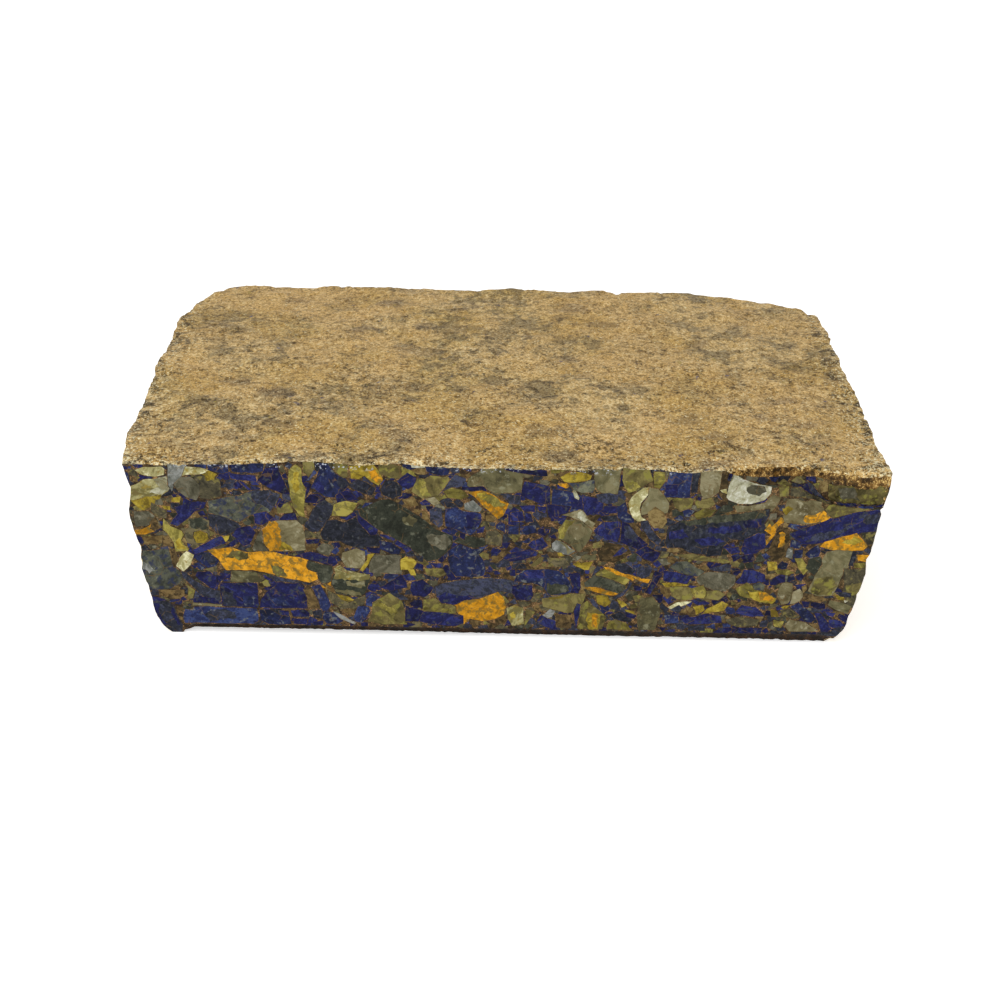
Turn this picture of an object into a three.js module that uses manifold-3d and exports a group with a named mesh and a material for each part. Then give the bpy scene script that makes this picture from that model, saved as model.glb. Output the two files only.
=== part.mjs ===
// A block of lapis lazuli chips pressed together in a bronze-coloured binder.
// It was cast in a tub with leaning walls and a rounded foot, and its open top is a rough, slightly
// domed skin. One long side was then sawn off flat, which shows the chips.
// Millimetres, +Z up. +X runs along the sawn face, to its right as one looks at it, and +Y goes into
// the block. The origin is at the middle of the block's box, on the surface that it rests on.
import * as THREE from "three";
import { mergeVertices } from "three/addons/utils/BufferGeometryUtils.js";
import Module from "manifold-3d";

// Driving dimensions
const TOP_WIDTH = 180.6; // along the sawn face's top edge
const DEPTH = 118.6; // from the sawn face to the back edge of the top
const HEIGHT = 46.3; // from the surface it rests on to the top skin at the ends
const DOME = 1.2; // how much higher the skin is along the middle of the sawn face
const DRAFT = 6.3; // how far each wall leans in, from the top down to the base
const FOOT_RADIUS = 7; // where the walls turn into the base
const BACK_LEFT_RADIUS = 5; // rounding of the tub's upright corners, seen from above
const BACK_RIGHT_RADIUS = 5;
const SAW_WASTE = 4; // cast length in front of the saw cut
const BASE_WASTE = 0.8; // cast depth that the flat base is dressed off by
const LEAN = 1.3; // how much further left the base lies than the top

// The edges of the top aren't straight
const LEFT_BOW = 2.6; // how far the left wall bows out, half way back
const LEFT_DRAWN_IN = { by: 3, from: 90, to: 112 }; // the left wall draws in towards the back
const BACK_SINK = { by: 0.2, from: 60, to: 118 }; // the skin sinks a little towards the back
const CORNER_SINK = { by: 0.9, from: 35, to: 65, behind: 80 }; // and more at its left corner
const BACK_STEP = { at: 28, by: 3, over: 3, recovery: 22 }; // a ledge in the back edge
const BACK_FALL = { from: 58, by: 9.5, power: 1.4 }; // the back edge falls away at its right end

// How fine the cast surface is drawn: cells along X, Y and Z
const CELLS_X = 52;
const CELLS_Y = 34;
const CELLS_Z = 10;
const FOOT_CROWDING = 1.35; // above 1, the rows of cells lie closer together near the foot

// The unevenness: how far it stands out, and the size of one lump of it
const WALL_SWELL = { height: 0.8, size: 27 };
const WALL_LUMPS = { height: 0.9, size: 8 };
const TOP_SWELL = { height: 0.5, size: 31 };
const TOP_LUMPS = { height: 0.55, size: 8.5 };

// Where the top edge of the sawn face has flaked: the middle of each flake, along the face and above
// the base, and half its size along the face, into the block and upwards
const TOP_FLAKES = [
  { x: -83, z: HEIGHT + 0.6, along: 4, into: 1.4, up: 1.3 },
  { x: -62, z: HEIGHT + 1.6, along: 11, into: 2.2, up: 1.5 },
  { x: -36, z: HEIGHT + 1.9, along: 9, into: 1.5, up: 1.2 },
  { x: -19, z: HEIGHT + 1.9, along: 6, into: 2.4, up: 1.6 },
  { x: 6, z: HEIGHT + 1.9, along: 11, into: 1.8, up: 1.4 },
  { x: 41, z: HEIGHT + 1.8, along: 6, into: 2.2, up: 1.5 },
  { x: 64, z: HEIGHT + 1.2, along: 13, into: 4.4, up: 4.2 },
  { x: 84, z: HEIGHT - 2.2, along: 15, into: 3.0, up: 6.0 },
];
// The foot of the sawn face is hollowed out, less so towards its right. The left end of it is whole.
const HOLLOW = { from: -79, to: 82, end: 5, intoLeft: 2.5, intoRight: 1.1, up: 2.6 };

// A number between -1 and 1 that is always the same for the same three whole numbers.
function chance(i, j, k) {
  const wide = Math.sin(i * 127.1 + j * 311.7 + k * 74.7) * 43758.5453;
  return 2 * (wide - Math.floor(wide)) - 1;
}

// Smooth lumps of about the given size, between -1 and 1.
function lumps(x, y, z, size) {
  const at = [x / size, y / size, z / size];
  const low = at.map(Math.floor);
  const [a, b, c] = at.map((value, i) => THREE.MathUtils.smoothstep(value - low[i], 0, 1));
  const along = (j, k) =>
    THREE.MathUtils.lerp(
      chance(low[0], low[1] + j, low[2] + k),
      chance(low[0] + 1, low[1] + j, low[2] + k),
      a,
    );
  const level = (k) => THREE.MathUtils.lerp(along(0, k), along(1, k), b);
  return THREE.MathUtils.lerp(level(0), level(1), c);
}

// How far back the top's back edge lies at x.
function backEdge(x) {
  const past = (x - BACK_STEP.at) / BACK_STEP.recovery;
  const ledge = THREE.MathUtils.smoothstep(x, BACK_STEP.at, BACK_STEP.at + BACK_STEP.over);
  const step = BACK_STEP.by * ledge * Math.max(0.4, 1 - Math.max(0, past));
  const fallen = Math.max(0, x - BACK_FALL.from) / (TOP_WIDTH / 2 - BACK_FALL.from);
  return DEPTH - step - BACK_FALL.by * fallen ** BACK_FALL.power;
}

// Moves a point out of a square corner onto a round one. core is the point of the uncornered middle
// nearest to it.
function roundOff(point, core) {
  const away = point.clone().sub(core);
  const reach = Math.max(Math.abs(away.x), Math.abs(away.y), Math.abs(away.z));
  if (reach < 1e-6) return point;
  return core.clone().addScaledVector(away.normalize(), reach);
}

// How high the top skin lies: domed across the sawn face, and flatter towards the back.
function skinHeight(x, y) {
  const across = 1 - Math.min(1, Math.abs(x + 8) / (TOP_WIDTH / 2)) ** 4;
  const atBack = THREE.MathUtils.smoothstep(y, BACK_SINK.from, BACK_SINK.to);
  const atLeft = THREE.MathUtils.smoothstep(-x, CORNER_SINK.from, CORNER_SINK.to);
  const behind = THREE.MathUtils.smoothstep(y, CORNER_SINK.behind, BACK_SINK.to);
  return (
    DOME * across * (1 - (0.8 * y) / DEPTH) -
    BACK_SINK.by * atBack -
    CORNER_SINK.by * atLeft * behind +
    TOP_SWELL.height * lumps(x, y, 0, TOP_SWELL.size) +
    TOP_LUMPS.height * lumps(x, y, 9, TOP_LUMPS.size)
  );
}

// Where the cast surface lies for a point of a plain box: u from -1 to 1 across, v from 0 to 1
// back, w from 0 to 1 up.
function castPoint(u, v, w) {
  const half = TOP_WIDTH / 2;
  const low = -BASE_WASTE;
  const point = new THREE.Vector3(u * half, 0, low + (HEIGHT - low) * w ** FOOT_CROWDING);
  const back = backEdge(point.x);
  point.y = -SAW_WASTE + (back + SAW_WASTE) * v;

  // The upright corners at the back
  const corner = u < 0 ? BACK_LEFT_RADIUS : BACK_RIGHT_RADIUS;
  const upright = new THREE.Vector3(
    THREE.MathUtils.clamp(point.x, -half + corner, half - corner),
    Math.min(point.y, back - corner),
    point.z,
  );
  let cast = roundOff(point, upright);

  // The foot, along both ends and the back
  const foot = new THREE.Vector3(
    THREE.MathUtils.clamp(cast.x, -half + FOOT_RADIUS, half - FOOT_RADIUS),
    Math.min(cast.y, back - FOOT_RADIUS),
    Math.max(cast.z, low + FOOT_RADIUS),
  );
  cast = roundOff(cast, foot);

  // The leaning walls, and the curve of the left one
  const below = 1 - cast.z / HEIGHT;
  cast.x *= 1 - (DRAFT / half) * below;
  cast.y *= 1 - (DRAFT / DEPTH) * below;
  const inwards = THREE.MathUtils.clamp(cast.y / DEPTH, 0, 1);
  const bow = LEFT_BOW * Math.sin(Math.PI * inwards);
  const { by, from, to } = LEFT_DRAWN_IN;
  const drawnIn = by * THREE.MathUtils.smoothstep(cast.y, from, to);
  cast.x += (drawnIn - bow) * Math.max(0, -u) ** 2 - LEAN * below;

  // The unevenness: the walls' stands out sideways and the top's upwards
  const { x, y, z } = cast;
  const wall =
    WALL_SWELL.height * lumps(x, y, z, WALL_SWELL.size) +
    WALL_LUMPS.height * (0.45 + 0.55 * w) * lumps(x, y, z, WALL_LUMPS.size);
  cast.x += wall * Math.sign(u) * Math.abs(u) ** 8;
  cast.y += wall * v ** 8;
  if (w === 1) cast.z += skinHeight(x, y);
  return cast;
}

const wasm = await Module();
wasm.setup();

// A three.js geometry as a solid that can be cut.
function solidOf(geometry) {
  const bare = geometry.clone();
  bare.deleteAttribute("normal");
  bare.deleteAttribute("uv");
  const merged = mergeVertices(bare, 1e-4);
  const mesh = new wasm.Mesh({
    numProp: 3,
    vertProperties: new Float32Array(merged.attributes.position.array),
    triVerts: new Uint32Array(merged.index.array),
  });
  return new wasm.Manifold(mesh);
}

// A cut solid as a three.js geometry.
function geometryOf(solid) {
  const mesh = solid.getMesh();
  const geometry = new THREE.BufferGeometry();
  geometry.setAttribute("position", new THREE.BufferAttribute(mesh.vertProperties, 3));
  geometry.setIndex(new THREE.BufferAttribute(mesh.triVerts, 1));
  return geometry;
}

// The block as it comes out of the tub.
function castBlock() {
  const box = new THREE.BoxGeometry(2, 1, 1, CELLS_X, CELLS_Y, CELLS_Z);
  const place = box.attributes.position;
  for (let i = 0; i < place.count; i += 1) {
    const cast = castPoint(place.getX(i), place.getY(i) + 0.5, place.getZ(i) + 0.5);
    place.setXYZ(i, cast.x, cast.y, cast.z);
  }
  return solidOf(box);
}

// What is left after the saw cut and the dressing of the base: all behind y = 0 and above z = 0.
function keptSpace() {
  const size = 2 * TOP_WIDTH;
  return solidOf(new THREE.BoxGeometry(size, size, size).translate(0, size / 2, size / 2));
}

// One flake that came off at the sawn face. Detail says how finely it is faceted.
function flake({ x, z, along, into, up }, detail = 1) {
  const round = new THREE.IcosahedronGeometry(1, detail).scale(along, into, up);
  return solidOf(round.translate(x, 0, z));
}

// The hollow along the foot: the space between a small and a large round end.
function footHollow() {
  const { from, to, end, intoLeft, intoRight, up } = HOLLOW;
  return wasm.Manifold.hull([
    flake({ x: from + end, z: 0, along: end, into: intoLeft, up }, 3),
    flake({ x: to - end, z: 0, along: end, into: intoRight, up }, 3),
  ]);
}

const sawn = castBlock().intersect(keptSpace()).subtract(footHollow());
const worn = TOP_FLAKES.map((gone) => flake(gone)).reduce((solid, gone) => solid.subtract(gone), sawn);

const geometry = geometryOf(worn);
geometry.computeBoundingBox();
const middle = geometry.boundingBox.getCenter(new THREE.Vector3());
geometry.translate(-middle.x, -middle.y, 0);
geometry.computeVertexNormals();

const pressedStone = new THREE.MeshStandardMaterial({
  name: "pressed_stone",
  color: 0x7d6847,
  roughness: 0.55,
  metalness: 0.1,
});

const block = new THREE.Mesh(geometry, pressedStone);
block.name = "block";

const group = new THREE.Group();
group.name = "lapis_lazuli_block";
group.add(block);

export default group;
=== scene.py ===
import math
import random
from collections import namedtuple

import bmesh
import bpy
from bpy.props import FloatProperty, FloatVectorProperty, IntProperty, PointerProperty
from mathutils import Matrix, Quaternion, Vector, noise
from mathutils.geometry import delaunay_2d_cdt


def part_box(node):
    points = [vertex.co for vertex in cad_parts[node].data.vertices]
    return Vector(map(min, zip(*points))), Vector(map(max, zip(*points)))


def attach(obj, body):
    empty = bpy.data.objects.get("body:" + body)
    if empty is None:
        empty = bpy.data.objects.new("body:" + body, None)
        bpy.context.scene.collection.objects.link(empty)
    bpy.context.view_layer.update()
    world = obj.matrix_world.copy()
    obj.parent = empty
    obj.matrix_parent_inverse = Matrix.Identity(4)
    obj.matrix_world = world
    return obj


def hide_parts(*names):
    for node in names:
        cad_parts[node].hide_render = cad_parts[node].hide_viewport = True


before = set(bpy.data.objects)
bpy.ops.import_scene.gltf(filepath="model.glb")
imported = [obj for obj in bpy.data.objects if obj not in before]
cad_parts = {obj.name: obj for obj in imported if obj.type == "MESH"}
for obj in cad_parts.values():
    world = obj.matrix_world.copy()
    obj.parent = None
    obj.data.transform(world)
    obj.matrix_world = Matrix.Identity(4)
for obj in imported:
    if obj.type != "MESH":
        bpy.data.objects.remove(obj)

bl_info = {
    "name": "Pressed lapis block",
    "version": (1, 0, 0),
    "blender": (4, 5, 0),
    "location": "3D View > Sidebar > Stone",
    "description": "Models a cast block of lapis chips with one sawn face, and a pale stage for it",
    "category": "Add Mesh",
}

MM = 0.001
NODE = "block"
LOW = Vector(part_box(NODE)[0]) / MM
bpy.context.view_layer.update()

# Where the sawn face's own coordinates lie in the frame: x from the middle of its top edge, and z
# from the lower edge that shows
FACE_X = 1.2492
FACE_Y = LOW.y
FACE_Z = 2.6

# The cast form, as in the frame's solid
FORM = {
    "half": 90.3,
    "depth": 118.6,
    "height": 46.3,
    "dome": 1.2,
    "dome_at": -8.0,
    "dome_fall": 0.8,
    "draft": 6.3,
    "foot": 7.0,
    "back_left": 5.0,
    "back_right": 5.0,
    "saw_waste": 4.0,
    "base_waste": 0.8,
    "left_bow": 2.6,
    "lean": 1.3,
    "crowding": 1.35,
    "front_crowding": 1.2,
}
LEFT_DRAWN_IN = {"by": 3.0, "from": 90.0, "to": 112.0}
BACK_SINK = {"by": 0.2, "from": 60.0, "to": 118.0}
CORNER_SINK = {"by": 0.9, "from": 35.0, "to": 65.0, "behind": 80.0}
BACK_STEP = {"at": 28.0, "by": 3.0, "over": 3.0, "recovery": 22.0, "least": 0.4}
BACK_FALL = {"from": 58.0, "by": 9.5, "power": 1.4}

# Its unevenness: how far it stands out, and the size of one lump of it
WALL_SWELL = {"height": 0.8, "size": 27.0}
WALL_LUMPS = {"height": 0.9, "size": 8.0}
TOP_SWELL = {"height": 0.5, "size": 31.0}
TOP_LUMPS = {"height": 0.55, "size": 8.5}
# The walls' lumps stand out less towards the foot, and only close to the walls
LUMPS_AT_FOOT = 0.45
LUMPS_RISE = 0.55
WALL_POWER = 8

# The grain of the skin: the size of each kind of lump and how much it adds, the noise at which pits
# begin and are full, and the heights above the base between which the grain comes in
GRAIN_SIZES = {"fine": 1.4, "coarse": 4.5, "pit": 2.6}
GRAIN_HEIGHTS = {"fine": 0.75, "coarse": 0.9, "pit": 1.5}
PIT_NOISE = (0.28, 0.6)
GRAIN_RISE = (0.3, 4)

# Stone kinds: dark, main and light tone, size of the cloudiness, how far it is drawn out along the
# chip, the tone of the spots, and how common they are
Stone = namedtuple("Stone", "dark main light cloud drawn_out spot spotted")
KINDS = {
    "lapis": Stone("#13132a", "#1d1e46", "#30356b", 1.5, 2.4, "#3d4142", 0.12),
    "azure": Stone("#171b2e", "#23294c", "#384570", 1.8, 1.6, "#6b6f6e", 0.10),
    "slate": Stone("#1a1c22", "#2b2d37", "#41455a", 1.1, 1.7, "#474a4c", 0.10),
    "blue_grey": Stone("#33352e", "#515346", "#767761", 2.0, 1.3, "#2a304a", 0.16),
    "dark_green": Stone("#21231c", "#31342a", "#4b4c3e", 2.4, 1.5, "#646555", 0.10),
    "dark_olive": Stone("#2d2b23", "#4b4634", "#6c6348", 1.6, 1.3, "#7c733f", 0.12),
    "grey": Stone("#333124", "#4c4939", "#686452", 2.4, 1.4, "#817e6a", 0.10),
    "grey_green": Stone("#45412c", "#615c3f", "#7c7555", 2.6, 1.5, "#878468", 0.10),
    "beige": Stone("#534a30", "#6e6648", "#8b8364", 2.4, 1.6, "#a19b7e", 0.10),
    "olive": Stone("#433d22", "#605733", "#807645", 2.2, 1.6, "#85803b", 0.14),
    "olive_yellow": Stone("#4b431f", "#716930", "#a09449", 1.9, 2.0, "#61593b", 0.12),
    "yellow": Stone("#62531b", "#917d28", "#b19d3d", 1.5, 1.5, "#685d2e", 0.12),
    "orange": Stone("#8c6214", "#bf8519", "#e0a028", 1.5, 1.5, "#6b5c2c", 0.18),
    "cream": Stone("#6b6339", "#a09968", "#dedab0", 1.8, 1.6, "#8d772e", 0.12),
    "white": Stone("#767256", "#aaa88c", "#d6d5c6", 2.4, 1.3, "#888060", 0.12),
    "pale_grey": Stone("#3e423d", "#666860", "#90918c", 2.2, 1.5, "#a1a39a", 0.10),
    "brown": Stone("#322a19", "#55452b", "#78633d", 1.3, 1.5, "#281e11", 0.14),
    "tan": Stone("#493a22", "#695733", "#8a774b", 1.4, 1.3, "#543d23", 0.12),
}
BLUES = ("lapis", "azure", "slate", "dark_green")
BINDER = "binder"
SKIN = "skin"
UNDERCUT_SHADE = "undercut"
BROKEN = "broken"
CRACKS_AND_HIGHLIGHTS = "streaks"

# The tones of what holds the chips, and of the cracks in them. The undercut's tones paint shade into
# the hollow foot, the skin's pit tone paints shade into its pits, and the glints are painted highlights
METALS = {
    BINDER: {"dark": "#281d10", "main": "#584327", "light": "#a07b50"},
    UNDERCUT_SHADE: {"dark": "#170e06", "main": "#2b1a09", "light": "#493014"},
    BROKEN: {"dark": "#33240e", "main": "#8a6530", "light": "#f0cd80"},
    CRACKS_AND_HIGHLIGHTS: {"crack": "#6b5433", "glint": "#dbe1ec"},
    SKIN: {
        "dark": "#7c6030", "main": "#dab776", "light": "#ffe6ae", "olive": "#e2dba6",
        "copper": "#ffefd0", "dull": "#b3b5b8", "chip": "#cbcbd6", "pit": "#4a3716",
        "glint": "#fff0c0", "blue": "#3a4270", "yellow": "#a8923a",
    },
}
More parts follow.
